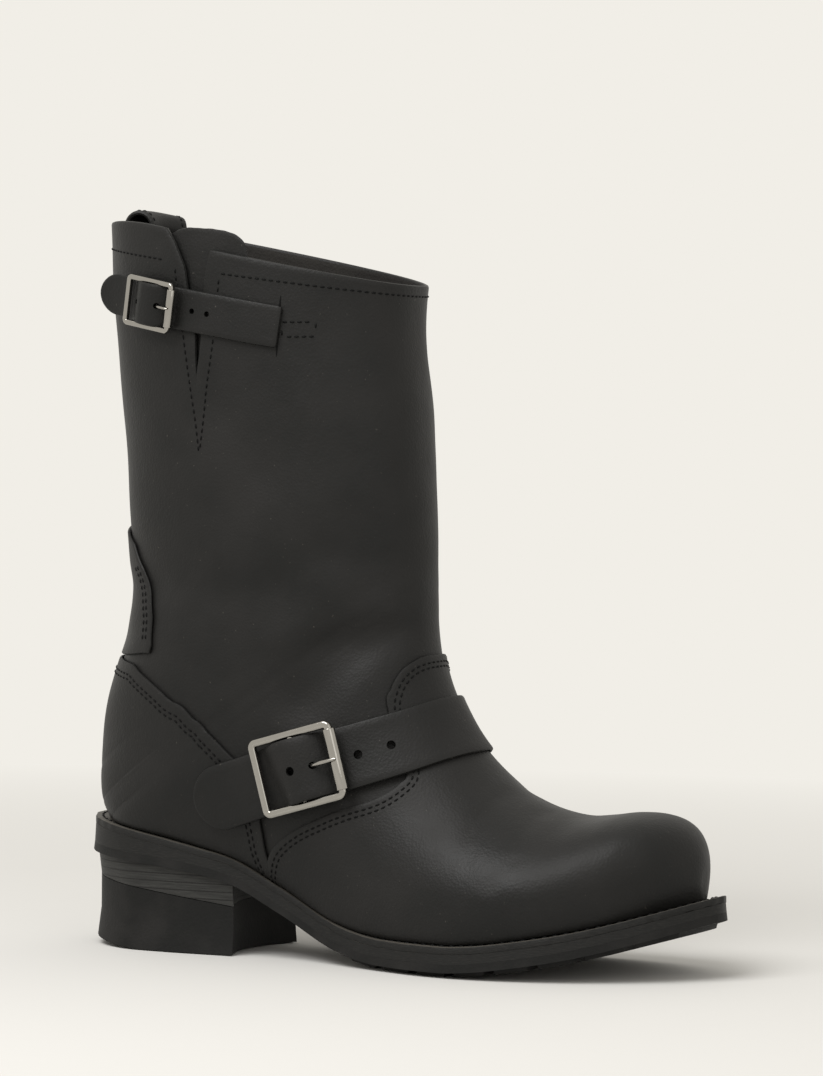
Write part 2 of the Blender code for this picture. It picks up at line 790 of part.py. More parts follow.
def make_upper(material):
    grid, on_welt = upper_sheet()
    upper = thick_sheet("upper", grid, -wall, 0.0, material, on_welt)
    rim = upper_point(np.array(NOTCH_ACROSS), np.array([1.0, 1.0, 1.0]))
    foot = upper_point(NOTCH_ACROSS[1], NOTCH_ALONG)
    outline = [
        (rim[0, 1], rim_height * 1.05),
        (rim[0, 1], rim[0, 2]),
        (foot[1], foot[2]),
        (rim[2, 1], rim[2, 2]),
        (rim[2, 1], rim_height * 1.05),
    ]
    cut(upper, prism("notch_cutter", outline, "X", 0.0, shaft_width), "DIFFERENCE")
    return upper


def overlay_shell(name, from_place, to_place, material):
    """Shell over the rows of the upper between two places, which an overlay is cut from."""
    grid, on_welt = upper_sheet()
    place = along_rows() * LAST_PLACE
    rows = (place > from_place) & (place < to_place)
    return thick_sheet(name, grid[rows], clearance, clearance + overlay_thick, material, on_welt[rows])


def make_vamp(material):
    vamp = overlay_shell("vamp", *VAMP_PLACES, material)
    edge = side_outline(VAMP_EDGE)
    front = sole_length
    outline = np.vstack([edge, [(front, edge[-1, 1]), (front, -0.02), (edge[0, 0], -0.02)]])
    cut(vamp, prism("vamp_cutter", outline, "X", -ball_width, ball_width), "INTERSECT")
    return vamp


def counter_outline(gap):
    edge = side_outline(COUNTER_EDGE) + [gap, gap]
    return np.vstack([edge, [(edge[-1, 0], -0.02), (edge[0, 0] - gap, -0.02)]])


def make_heel_counter(material):
    counter = overlay_shell("heel_counter", *COUNTER_PLACES, material)
    cut(counter, prism("counter_cutter", counter_outline(0.0), "X", -ball_width, ball_width), "INTERSECT")
    return counter


def make_backstay(material):
    """Strip up the back above the counter, widest at its foot."""
    backstay = overlay_shell("backstay", *BACKSTAY_PLACES, material)
    edge = np.array(BACKSTAY_EDGE) * [shaft_width, rim_height]
    outline = np.vstack([edge, (edge * [-1, 1])[::-1]])
    middle = upper_point(0.0, 1.0)[1] + shaft_width / 2
    cut(backstay, prism("backstay_cutter", outline, "Y", -sole_length, middle), "INTERSECT")
    beside = prism("backstay_foot_cutter", counter_outline(2 * clearance), "X", -ball_width, ball_width)
    cut(backstay, beside, "DIFFERENCE")
    return backstay


def make_gusset(material):
    """Soft leather behind the notch, standing a little above the rim."""
    along = np.concatenate([along_rows()[-5:], [1.0 + gusset_rise / rim_height, 1.0 + 2 * gusset_rise / rim_height]])
    across = np.arange(2, 9) / upper_columns
    grid = upper_point(across[None, :], along[:, None])
    gusset = thick_sheet("gusset", grid, -wall - clearance - gusset_thick, -wall - clearance, material)
    cut(gusset, prism("gusset_cutter", side_outline(GUSSET_EDGE), "X", 0.0, shaft_width), "INTERSECT")
    return gusset


# Straps, buckles and loop


def strap_grid(table, width, rows, round_tip, lift):
    """Grid along a strap: the middle line on the upper, then to both sides over its surface."""
    table = np.array(table)
    at = np.linspace(table[0, 0], table[-1, 0], rows)
    if round_tip:
        tip = np.linspace(0, 1, 5)[:-1] ** 1.5 * 3
        at = np.concatenate([at[0] + (at[1] - at[0]) * tip, at[3:]])
    middle = curve(table[:, 0], table[:, 1], at)
    path = upper_point(at, middle)
    tangent = unit(np.gradient(path, axis=0))
    _, _, _, normal = upper_frame(at, middle)
    side = np.cross(normal, tangent)
    reach = np.concatenate([[0], np.cumsum(np.linalg.norm(np.diff(path, axis=0), axis=1))])
    half = np.full(len(at), width / 2)
    if round_tip:
        into = np.clip(1 - reach / (width / 2), 0, 1)
        half = half * np.sqrt(np.maximum(1 - into**2, 0.02))
    columns = []
    for share in (1.0, 0.0, -1.0):
        a, b = walk(at, middle, side, share * half)
        point, _, _, out = upper_frame(a, b)
        columns.append(point + out * lift(reach, reach[-1])[:, None])
    return np.stack(columns, axis=1), reach, at


def place_on_path(table, at):
    """Middle point of a strap, its running direction, its width direction and the surface normal."""
    table = np.array(table)
    near = np.array([at - 0.01, at, at + 0.01])
    middle = curve(table[:, 0], table[:, 1], near)
    points = upper_point(near, middle)
    _, _, _, normal = upper_frame(near, middle)
    forward = unit(points[2] - points[0])
    out = unit(normal[1] - (normal[1] * forward).sum() * forward)
    return points[1], forward, np.cross(out, forward), out


def reach_of(table, at, rows=60):
    table = np.array(table)
    steps = np.linspace(table[0, 0], at, rows)
    path = upper_point(steps, curve(table[:, 0], table[:, 1], steps))
    return np.linalg.norm(np.diff(path, axis=0), axis=1).sum()


class Buckle:
    """Sizes and heights of one roller buckle over the upper."""

    def __init__(self, name, table, at, length, width, bar, strap_width, under, tail_radius):
        self.name = name
        self.length = length
        self.width = width
        self.bar = bar
        self.strap_width = strap_width
        self.tail_radius = tail_radius
        self.base = under + clearance
        self.chape_top = self.base + chape_thick
        self.tail_low = self.chape_top + clearance
        self.height = self.tail_low + strap_thick + bar_gap + bar
        self.hump = self.height + bar * 0.75 + clearance
        self.middle, self.forward, self.side, self.out = place_on_path(table, at)
        self.reach = reach_of(table, at)
        self.table = table

    def point(self, u, v, w):
        """World point from the buckle's own frame: along the strap, across it and out from the boot."""
        u, v, w = np.broadcast_arrays(u, v, w)
        return self.middle + u[..., None] * self.forward + v[..., None] * self.side + w[..., None] * self.out

    def strap_lift(self, reach):
        """Height of the strap's under face: over the chape behind, over the middle bar, then down to the boot.

        Past the frame the tip runs straight on while the boot curves away, so it rises as a circle's chord does.
        """
        u = reach - self.reach
        half = self.length / 2
        level = self.base + (self.tail_low - self.base) * (1 - blend(0.0, half, u))
        rise = (1 - blend(self.bar * 1.1, half * 0.78, np.abs(u))) * (self.hump - level)
        tail = np.maximum(-u - half, 0.0)
        return level + rise + tail**2 / (2 * self.tail_radius)


def tube(points, radii, sides, closed, names):
    """Points and faces of a round bar along a path. names gives two directions square to the path at each point."""
    across, up = names
    turn = np.arange(sides) / sides * 2 * math.pi
    ring = across[:, None] * np.cos(turn)[None, :, None] + up[:, None] * np.sin(turn)[None, :, None]
    rings = points[:, None] + ring * np.asarray(radii).reshape(-1, 1, 1)
    count = len(points)
    faces = []
    for i in range(count if closed else count - 1):
        j = (i + 1) % count
        for k in range(sides):
            m = (k + 1) % sides
            faces.append([i * sides + k, i * sides + m, j * sides + m, j * sides + k])
    if not closed:
        faces.append(list(range(sides))[::-1])
        faces.append([(count - 1) * sides + k for k in range(sides)])
    return rings.reshape(-1, 3), faces


def make_buckle(buckle, metal):
    """Frame with its middle bar, roller on the side the strap comes from, and prong."""
    half_u = buckle.length / 2 - buckle.bar
    half_v = buckle.width / 2 - buckle.bar
    corner = buckle.bar * 1.6
    turns = np.linspace(0, math.pi / 2, 4)
    path = []
    for i, (su, sv) in enumerate(((1, 1), (-1, 1), (-1, -1), (1, -1))):
        turn = turns + i * math.pi / 2
        path.append(
            np.stack([su * (half_u - corner) + corner * np.cos(turn), sv * (half_v - corner) + corner * np.sin(turn)], 1)
        )
    path = np.vstack(path)
    along = unit(np.roll(path, -1, axis=0) - np.roll(path, 1, axis=0))
    outward = along[:, :1] * 0 + np.stack([along[:, 1], -along[:, 0]], axis=1)
    centre = buckle.point(path[:, 0], path[:, 1], buckle.height)
    across = outward[:, :1] * buckle.forward + outward[:, 1:] * buckle.side
    up = np.broadcast_to(buckle.out, across.shape)
    points, faces = tube(centre, np.full(len(path), buckle.bar), 8, True, (across, up))
    frame = add_object(buckle.name + "_frame", points, faces, metal)
    ends = buckle.point(np.zeros(2), np.array([-half_v, half_v]), buckle.height)
    names = (np.tile(buckle.forward, (2, 1)), np.tile(buckle.out, (2, 1)))
    points, faces = tube(ends, np.full(2, buckle.bar * 0.75), 8, False, names)
    bar = add_object(buckle.name + "_bar_joiner", points, faces, metal)
    bar.hide_render = True
    bar.display_type = "WIRE"
    cut(frame, bar, "UNION")
    make_roller(buckle, half_u, half_v - corner - clearance, metal)
    make_prong(buckle, half_u, metal)


def make_roller(buckle, at_u, half_length, metal):
    """Tube that turns on the frame's far bar."""
    sides = 14
    turn = np.arange(sides) / sides * 2 * math.pi
    loops = []
    for radius, v in (
        (buckle.bar + clearance, -half_length),
        (buckle.bar * 1.55, -half_length),
        (buckle.bar * 1.55, half_length),
        (buckle.bar + clearance, half_length),
    ):
        loops.append(buckle.point(at_u + radius * np.cos(turn), v, buckle.height + radius * np.sin(turn)))
    faces = []
    for ring in range(4):
        for k in range(sides):
            m = (k + 1) % sides
            a, b = ring * sides, (ring + 1) % 4 * sides
            faces.append([a + k, a + m, b + m, b + k])
    return add_object(buckle.name + "_roller", np.vstack(loops), faces, metal)


def prong_path(buckle, half_u):
    """From beside the middle bar out through the strap and on to the roller."""
    top = buckle.height + buckle.bar * 1.55 + clearance + buckle.bar * 0.55
    start = buckle.bar * 0.75 + clearance
    u = np.array([start, half_u * 0.30, half_u * 0.62, half_u * 0.86, half_u + buckle.bar * 1.1])
    w = np.array([buckle.height, buckle.height + 0.1 * buckle.bar, top - 0.5 * buckle.bar, top, top])
    return u, w


def make_prong(buckle, half_u, metal):
    u, w = prong_path(buckle, half_u)
    centre = buckle.point(u, np.zeros(len(u)), w)
    along = unit(np.gradient(centre, axis=0))
    across = np.tile(buckle.side, (len(u), 1))
    radii = buckle.bar * np.array([0.55, 0.55, 0.55, 0.50, 0.36])
    points, faces = tube(centre, radii, 8, False, (across, np.cross(along, across)))
    return add_object(buckle.name + "_prong", points, faces, metal)


def cut_prong_hole(strap, buckle):
    u, w = prong_path(buckle, buckle.length / 2 - buckle.bar)
    centre = buckle.point(u, np.zeros(len(u)), w)
    along = unit(np.gradient(centre, axis=0))
    across = np.tile(buckle.side, (len(u), 1))
    radii = np.full(len(u), buckle.bar * 0.55 + 2 * clearance)
    points, faces = tube(centre, radii, 8, False, (across, np.cross(along, across)))
    cutter = add_object(buckle.name + "_hole_cutter", points, faces, bpy.data.materials[0])
    cutter.hide_render = True
    cutter.display_type = "WIRE"
    cut(strap, cutter, "DIFFERENCE")


def make_strap(name, buckle, rows, lift, material):
    grid, _, _ = strap_grid(buckle.table, buckle.strap_width, rows, True, lift)
    strap = thick_sheet(name, grid, 0.0, strap_thick, material)
    cut_prong_hole(strap, buckle)
    return strap


def make_chape(name, buckle, behind, material):
    """Short strap that holds the buckle: from behind it on the boot up to its middle bar."""
    u = np.linspace(-behind, -buckle.bar * 0.2, 8)
    v = np.linspace(0.5, -0.5, 3) * buckle.strap_width * 0.92
    uu, vv = np.meshgrid(u, v, indexing="ij")
    table = np.array(buckle.table)
    low = buckle.base
    high = buckle.height - buckle.bar * 0.75 - clearance - chape_thick
    steps = np.linspace(table[0, 0], table[-1, 0], 400)
    middle = curve(table[:, 0], table[:, 1], steps)
    path = upper_point(steps, middle)
    reach = np.concatenate([[0], np.cumsum(np.linalg.norm(np.diff(path, axis=0), axis=1))])
    at = np.interp(buckle.reach + u, reach, steps)
    line = np.interp(buckle.reach + u, reach, middle)
    _, _, _, normal = upper_frame(at, line)
    tangent = unit(np.gradient(upper_point(at, line), axis=0))
    side = np.cross(normal, tangent)
    lift = low + (high - low) * blend(-buckle.length * 0.42, -buckle.bar, u)
    columns = []
    for j in range(len(v)):
        a, b = walk(at, line, side, vv[:, j])
        point, _, _, out = upper_frame(a, b)
        columns.append(point + out * lift[:, None])
    return thick_sheet(name, np.stack(columns, axis=1), 0.0, chape_thick, material)


def rim_round():
    """Length round the rim."""
    rim = upper_point(np.linspace(0, 1, 200), np.ones(200))
    return np.linalg.norm(np.diff(rim, axis=0), axis=1).sum()


def make_pull_loop(material):
    """Band sewn inside the collar that stands over the rim in an arch and follows the wall."""
    half = loop_width / 2 / rim_round()
    across = np.linspace(LOOP_ACROSS - half, LOOP_ACROSS + half, 5)
    rim, _, by_along, out = upper_frame(np.mod(across, 1.0), np.ones(5))
    rise = unit(by_along)
    near = wall + 3 * clearance + loop_thick
    turn = np.linspace(0, math.pi, 9)
    into = near + loop_span / 2 - loop_span / 2 * np.cos(turn)
    up = loop_rise - loop_span / 2 + loop_span / 2 * np.sin(turn)
    into = np.concatenate([[near], into, [near + loop_thick * 1.3]])
    up = np.concatenate([[-loop_drop], up, [-loop_drop]])
    grid = rim[None] - out[None] * into[:, None, None] + rise[None] * up[:, None, None]
    return thick_sheet("pull_loop", grid, 0.0, loop_thick, material)


def main():
    clear_scene()
    oiled_leather = make_material("oiled_leather", (0.018, 0.018, 0.017), 0.55)
    edge_leather = make_material("edge_leather", (0.016, 0.016, 0.015), 0.60)
    lining_leather = make_material("lining_leather", (0.030, 0.029, 0.027), 0.75)
    stack_leather = make_material("stack_leather", (0.055, 0.053, 0.050), 0.70)
    rubber = make_material("rubber", (0.013, 0.013, 0.013), 0.70)
    nickel = make_material("nickel", (0.75, 0.73, 0.70), 0.18, 1.0)

    make_outsole(rubber)
    make_midsole(edge_leather)
    make_welt(edge_leather)
    make_heel_stack(stack_leather)
    make_heel_lift(rubber)
    make_insole(lining_leather)
    make_upper(oiled_leather)
    make_vamp(oiled_leather)
    make_heel_counter(oiled_leather)
    make_backstay(oiled_leather)
    make_gusset(oiled_leather)

    instep = Buckle(
        "instep_buckle",
        INSTEP_STRAP,
        instep_buckle_at,
        instep_buckle_length,
        instep_buckle_width,
        instep_bar,
        instep_strap_width,
        clearance + overlay_thick,
        instep_tail_radius,
    )
    make_buckle(instep, nickel)
    make_strap("instep_strap", instep, 44, lambda reach, total: instep.strap_lift(reach), oiled_leather)
    make_chape("instep_chape", instep, instep_chape_length, oiled_leather)

    collar = Buckle(
        "collar_buckle",
        COLLAR_STRAP,
        collar_buckle_at,
        collar_buckle_length,
        collar_buckle_width,
        collar_bar,
        collar_strap_width,
        0.0,
        collar_tail_radius,
    )
    make_buckle(collar, nickel)
    make_strap("collar_strap", collar, 30, lambda reach, total: collar.strap_lift(reach), oiled_leather)
    make_chape("collar_chape", collar, collar_chape_length, oiled_leather)
    make_pull_loop(oiled_leather)


main()
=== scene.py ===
"""Looks of a plain black engineer boot for the right foot.

Every piece is a surface worked out with numpy from the sections of the last, in metres, +Z up,
+Y the toe and +X the outer side of the foot. It stands on a pale studio floor and is seen from
its outer side, a little from the front.
"""

import math

import bmesh
import bpy
import numpy as np
from mathutils import Matrix, Vector


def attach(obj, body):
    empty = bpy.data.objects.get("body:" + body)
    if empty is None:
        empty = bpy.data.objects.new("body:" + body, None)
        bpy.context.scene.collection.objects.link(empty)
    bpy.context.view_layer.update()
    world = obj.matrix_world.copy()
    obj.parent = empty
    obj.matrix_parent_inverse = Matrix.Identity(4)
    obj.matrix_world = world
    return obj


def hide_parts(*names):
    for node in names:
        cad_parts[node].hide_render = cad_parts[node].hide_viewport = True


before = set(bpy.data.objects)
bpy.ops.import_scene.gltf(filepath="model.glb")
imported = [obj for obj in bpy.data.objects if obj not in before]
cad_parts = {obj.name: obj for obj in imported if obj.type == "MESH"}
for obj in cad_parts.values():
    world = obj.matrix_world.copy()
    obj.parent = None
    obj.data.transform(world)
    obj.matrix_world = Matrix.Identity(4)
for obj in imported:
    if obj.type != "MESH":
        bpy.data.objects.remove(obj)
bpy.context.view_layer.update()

# Sole
sole_length = 0.288
ball_width = 0.0995
seat_width = 0.0690
heel_back = 0.040
seat_rise = 0.0424
toe_spring = 0.0215
outsole_thick = 0.0052
tread_depth = 0.0018
midsole_thick = 0.0034
seat_rand = 0.0040
welt_thick = 0.0030
welt_margin = 0.0068
toe_margin = 0.0105
edge_slope = 0.0008
layer_gap = 0.0003
feather_gap = 0.0006
insole_seat = 0.0060
tread_margin = 0.0032
lug_length = 0.0140
lug_groove = 0.0035

# Heel
heel_length = 0.0815
breast_hollow = 0.0070
breast_height = 0.0200
lift_slope = 0.125
heel_inset = 0.0034
heel_flare = 0.0014
stack_inset = 0.0022
heel_bevel = 0.0042
bevel_length = 0.036

# Upper
wall = 0.0022
overlay_thick = 0.0014
instep_height = 0.142
rim_height = 0.3056
rim_drop = 0.0270
shaft_width = 0.0910
gusset_thick = 0.0012

# Straps and buckles
strap_thick = 0.0019
instep_strap_width = 0.0250
collar_strap_width = 0.0155
chape_thick = 0.0013
instep_buckle_length = 0.0390
instep_buckle_width = 0.0335
collar_buckle_length = 0.0270
collar_buckle_width = 0.0215
instep_bar = 0.0017
collar_bar = 0.0012
bar_gap = 0.0003
loop_width = 0.036
loop_rise = 0.0038
loop_span = 0.0095
loop_drop = 0.024
loop_thick = 0.0022

clearance = 0.0003
ball_stack = welt_thick + midsole_thick + outsole_thick + 2 * layer_gap

# Outline of the sole: share of its length from the back, share of its width at the seat or the ball
OUTLINE = (
    # along, across
    (0.000, 0.000),
    (0.030, 0.295),
    (0.090, 0.465),
    (0.170, 0.500),
    (0.280, 0.478),
    (0.400, 0.400),
    (0.520, 0.425),
    (0.640, 0.512),
    (0.760, 0.488),
    (0.870, 0.368),
    (0.950, 0.195),
    (1.000, -0.055),
    (0.968, -0.275),
    (0.890, -0.430),
    (0.780, -0.500),
    (0.680, -0.488),
    (0.560, -0.400),
    (0.440, -0.322),
    (0.330, -0.375),
    (0.200, -0.470),
    (0.100, -0.455),
    (0.030, -0.290),
)

# Height of the welt above the ball: share of the sole's length, share of seat_rise
SEAT_LINE = (
    # along, rise
    (0.00, 1.000),
    (0.06, 0.955),
    (0.14, 0.870),
    (0.22, 0.765),
    (0.285, 0.660),
    (0.36, 0.415),
    (0.45, 0.125),
    (0.53, 0.012),
    (0.58, 0.000),
    (1.00, 0.000),
)

# Spring of the toe: share of the sole's length, share of toe_spring
SPRING_LINE = (
    # along, rise
    (0.00, 0.00),
    (0.66, 0.00),
    (0.70, 0.045),
    (0.75, 0.14),
    (0.85, 0.40),
    (0.92, 0.66),
    (1.00, 1.00),
)

# Sections of the foot, toe to heel. front: its top point, along as a share of sole_length and up
# from the welt as a share of instep_height. base: where its plane meets the sole. outer and inner:
# how far it swells beyond its line on the welt, as shares of ball_width. widest: how far up it is
# widest. low and up: exponents of its two curves. ridge: sideways shift of its top, a share of
# ball_width.
FOOT_SECTIONS = (
    # place, front, crown, base, outer, inner, widest, low, up, ridge
    (0.00, 0.9639, 0.040, 0.9635, 0.002, 0.002, 0.40, 2.2, 2.00, -0.050),
    (0.25, 0.9660, 0.102, 0.9597, 0.009, 0.009, 0.40, 2.2, 2.10, -0.050),
    (0.60, 0.9604, 0.157, 0.9472, 0.016, 0.014, 0.40, 2.2, 2.10, -0.055),
    (1.00, 0.9472, 0.204, 0.9271, 0.020, 0.017, 0.38, 2.2, 2.20, -0.060),
    (1.50, 0.9257, 0.245, 0.8993, 0.024, 0.019, 0.38, 2.2, 2.30, -0.060),
    (2.00, 0.8986, 0.274, 0.8681, 0.028, 0.021, 0.38, 2.2, 2.30, -0.060),
    (2.60, 0.8646, 0.294, 0.8333, 0.033, 0.024, 0.38, 2.2, 2.20, -0.060),
    (3.30, 0.8264, 0.301, 0.7951, 0.039, 0.028, 0.38, 2.2, 2.10, -0.060),
    (4.00, 0.7882, 0.310, 0.7535, 0.044, 0.031, 0.36, 2.2, 2.00, -0.060),
    (4.80, 0.7431, 0.339, 0.7083, 0.050, 0.036, 0.36, 2.2, 1.95, -0.060),
    (5.60, 0.7014, 0.381, 0.6493, 0.043, 0.056, 0.36, 2.2, 1.90, -0.055),
    (6.40, 0.6632, 0.436, 0.5868, 0.060, 0.081, 0.36, 2.2, 1.90, -0.050),
    (7.20, 0.6285, 0.505, 0.5208, 0.082, 0.109, 0.37, 2.2, 1.90, -0.040),
    (8.00, 0.5990, 0.583, 0.4479, 0.117, 0.145, 0.38, 2.2, 1.90, -0.030),
    (8.80, 0.5764, 0.667, 0.3715, 0.131, 0.157, 0.40, 2.2, 1.95, -0.020),
    (9.60, 0.5608, 0.751, 0.2917, 0.118, 0.150, 0.43, 2.3, 2.00, -0.010),
    (10.4, 0.5521, 0.836, 0.2118, 0.106, 0.117, 0.46, 2.3, 2.10, 0.000),
    (11.2, 0.5486, 0.913, 0.1319, 0.112, 0.121, 0.48, 2.4, 2.10, 0.000),
    (11.8, 0.5479, 0.969, 0.0694, 0.179, 0.188, 0.50, 2.4, 2.15, 0.000),
    (12.2, 0.5472, 1.004, 0.0382, 0.277, 0.278, 0.50, 2.3, 2.15, 0.000),
    (12.35, 0.5471, 1.016, 0.0285, 0.337, 0.338, 0.50, 2.2, 2.15, 0.000),
    (12.5, 0.5470, 1.028, 0.0238, 0.392, 0.392, 0.50, 2.2, 2.15, 0.000),
)

# Closed sections of the shaft, heel to rim. front and base: along as shares of sole_length, and
# up as shares of what is left above the instep and above the heel seat. half: half width as a
# share of shaft_width.
SHAFT_SECTIONS = (
    # place, front, front_up, base, base_up, half, up
    (13.0, 0.5462, 0.168, 0.0215, 0.050, 0.442, 2.15),
    (13.7, 0.5451, 0.227, 0.0222, 0.110, 0.446, 2.20),
    (14.4, 0.5434, 0.285, 0.0292, 0.170, 0.451, 2.20),
    (15.2, 0.5417, 0.351, 0.0458, 0.234, 0.455, 2.20),
    (16.0, 0.5399, 0.417, 0.0660, 0.297, 0.460, 2.20),
    (16.8, 0.5382, 0.483, 0.0757, 0.357, 0.466, 2.20),
    (17.6, 0.5354, 0.557, 0.0712, 0.421, 0.471, 2.20),
    (18.6, 0.5319, 0.645, 0.0653, 0.508, 0.478, 2.20),
    (19.6, 0.5271, 0.725, 0.0604, 0.600, 0.484, 2.20),
    (20.6, 0.5215, 0.806, 0.0528, 0.691, 0.489, 2.20),
    (21.6, 0.5184, 0.879, 0.0431, 0.787, 0.495, 2.20),
    (22.6, 0.5188, 0.945, 0.0347, 0.891, 0.498, 2.20),
    (23.6, 0.5215, 1.000, 0.0292, 1.000, 0.500, 2.20),
)
SHAFT_LOW = 2.2
SHAFT_WIDEST = 0.50
LOW_SHARE = 0.45

# Half of the backstay seen from behind: half width as a share of shaft_width,
# up as a share of rim_height
BACKSTAY_EDGE = (
    # half, up
    (0.395, 0.370),
    (0.395, 0.420),
    (0.380, 0.458),
    (0.357, 0.491),
    (0.330, 0.524),
    (0.285, 0.556),
    (0.198, 0.573),
    (0.088, 0.581),
)

# Middle lines of the straps on the upper: across from the outer side, along from toe to rim
INSTEP_STRAP = (
    # across, along
    (0.140, 0.4560),
    (0.160, 0.4470),
    (0.240, 0.4130),
    (0.310, 0.3860),
    (0.390, 0.3600),
    (0.500, 0.3450),
    (0.610, 0.3600),
    (0.690, 0.3860),
    (0.760, 0.4130),
    (0.850, 0.4520),
)
COLLAR_STRAP = (
    # across, along
    (0.096, 0.9567),
    (0.118, 0.9545),
    (0.160, 0.9490),
    (0.200, 0.9430),
    (0.245, 0.9330),
    (0.288, 0.9235),
)
instep_chape_length = 0.030
collar_chape_length = 0.018
instep_tail_radius = 1.0
collar_tail_radius = 0.026
instep_buckle_at = 0.240
collar_buckle_at = 0.166
# Outline of the gusset from the side: along as a share of sole_length from the back,
# up as a share of rim_height
GUSSET_EDGE = (
    # along, up
    (0.150, 0.780),
    (0.150, 0.962),
    (0.180, 0.976),
    (0.210, 0.988),
    (0.250, 0.988),
    (0.285, 0.984),
    (0.312, 0.972),
    (0.322, 0.945),
    (0.322, 0.780),
)
LOOP_ACROSS = 0.968


def curve(known, values, wanted):
    """Smooth curve through a table: cubics whose slopes at a row come from its two neighbours."""
    known = np.asarray(known, float)
    values = np.asarray(values, float)
    wanted = np.asarray(wanted, float)
    if values.ndim == 1:
        return curve(known, values[:, None], wanted)[..., 0]
    steps = np.diff(known)[:, None]
    rises = np.diff(values, axis=0) / steps
    slopes = np.empty_like(values)
    slopes[0] = rises[0]
    slopes[-1] = rises[-1]
    slopes[1:-1] = (rises[:-1] * steps[1:] + rises[1:] * steps[:-1]) / (steps[:-1] + steps[1:])
    cell = np.clip(np.searchsorted(known, wanted, side="right") - 1, 0, len(known) - 2)
    width = steps[cell]
    t = (wanted - known[cell])[..., None] / width
    return (
        values[cell] * (1 + 2 * t) * (1 - t) ** 2
        + values[cell + 1] * t**2 * (3 - 2 * t)
        + slopes[cell] * width * t * (1 - t) ** 2
        + slopes[cell + 1] * width * t**2 * (t - 1)
    )


def table_curve(table, wanted):
    table = np.array(table)
    return curve(table[:, 0], table[:, 1], wanted)


def blend(low, high, value):
    """0 before low, 1 after high, smooth between."""
    t = np.clip((value - low) / (high - low), 0.0, 1.0)
    return t * t * (3 - 2 * t)


def unit(vectors):
    vectors = np.asarray(vectors, float)
    return vectors / np.maximum(np.linalg.norm(vectors, axis=-1, keepdims=True), 1e-12)


def path_reach(path):
    """Distance along a path at each of its points."""
    return np.concatenate([[0], np.cumsum(np.linalg.norm(np.diff(path, axis=0), axis=1))])


def circle(count):
    """Angles of points at equal steps round a circle."""
    return np.arange(count) / count * 2 * math.pi


# The sole's outline and heights


def outline_loop(inset, toe_inset, count=400):
    """Closed loop round the sole moved inwards, as x and distance from the back."""
    table = np.array(OUTLINE)
    width = seat_width + (ball_width - seat_width) * blend(0.30, 0.52, table[:, 0])
    points = np.stack([table[:, 1] * width, table[:, 0] * sole_length], axis=1)
    points = np.vstack([points[-3:], points, points[:4]])
    reach = np.concatenate([[0.0], np.cumsum(np.hypot(*np.diff(points, axis=0).T))])
    wanted = reach[3] + (reach[-4] - reach[3]) * np.arange(count) / count
    loop = curve(reach, points, wanted)
    along = unit(np.roll(loop, -1, axis=0) - np.roll(loop, 1, axis=0))
    outward = np.stack([along[:, 1], -along[:, 0]], axis=1)
    depth = inset + (toe_inset - inset) * blend(0.86, 0.99, loop[:, 1] / sole_length)
    return loop - outward * depth[:, None]


def half_widths(loop, s):
    """x of the loop's outer and inner side at the distance s from the back."""
    loop = np.roll(loop, -loop[:, 1].argmin(), axis=0)
    tip = loop[:, 1].argmax()
    outer = loop[: tip + 1]
    inner = np.vstack([loop[tip:], loop[:1]])[::-1]
    return np.interp(s, outer[:, 1], outer[:, 0]), np.interp(s, inner[:, 1], inner[:, 0])


def welt_top(s):
    share = np.asarray(s) / sole_length
    seat = np.maximum(table_curve(SEAT_LINE, share), 0.0)
    spring = np.maximum(table_curve(SPRING_LINE, share), 0.0)
    return ball_stack + seat_rise * seat + toe_spring * spring


def midsole_top(s):
    return welt_top(s) - welt_thick - layer_gap


def outsole_top(s):
    rand = seat_rand * (1 - blend(0.02, 0.26, np.asarray(s) / sole_length))
    return midsole_top(s) - midsole_thick - rand - layer_gap


def outsole_base(s):
    """Underside of the outsole between its lugs."""
    return outsole_top(s) - outsole_thick + tread_depth


def lift_top(s):
    return breast_height + lift_slope * (heel_length - s)


def lift_bottom(s):
    """Flat on the floor in front, worn away in a bevel at the back."""
    return heel_bevel * np.clip(1 - s / bevel_length, 0, 1) ** 1.4


# The upper's function

FEATHER = outline_loop(welt_margin, toe_margin)


def section_values(place):
    """Values of the section at a place: front and base points, half widths and exponents, in metres."""
    foot = np.array(FOOT_SECTIONS)
    shaft = np.array(SHAFT_SECTIONS)
    seat = welt_top(0.0)
    rim_front = rim_height - rim_drop
    front_s = np.concatenate([foot[:, 1], shaft[:, 1]]) * sole_length
    foot_front_z = welt_top(foot[:, 1] * sole_length) + foot[:, 2] * instep_height
    shaft_front_z = instep_height + shaft[:, 2] * (rim_front - instep_height)
    base_s = np.concatenate([foot[:, 3], shaft[:, 3]]) * sole_length
    foot_base_z = welt_top(foot[:, 3] * sole_length) + feather_gap
    shaft_base_z = seat + shaft[:, 4] * (rim_height - seat)
    even = np.ones(len(shaft))
    foot_outer, foot_inner = half_widths(FEATHER, foot[:, 3] * sole_length)
    columns = [
        front_s,
        np.concatenate([foot_front_z, shaft_front_z]),
        base_s,
        np.concatenate([foot_base_z, shaft_base_z]),
        np.concatenate([foot_outer + foot[:, 4] * ball_width, shaft[:, 5] * shaft_width]),
        np.concatenate([foot[:, 5] * ball_width - foot_inner, shaft[:, 5] * shaft_width]),
        np.concatenate([foot[:, 6], even * SHAFT_WIDEST]),
        np.concatenate([foot[:, 7], even * SHAFT_LOW]),
        np.concatenate([foot[:, 8], shaft[:, 6]]),
        np.concatenate([foot[:, 9] * ball_width, even * 0.0]),
    ]
    places = np.concatenate([foot[:, 0], shaft[:, 0]])
    return np.moveaxis(curve(places, np.stack(columns, axis=1), place), -1, 0)


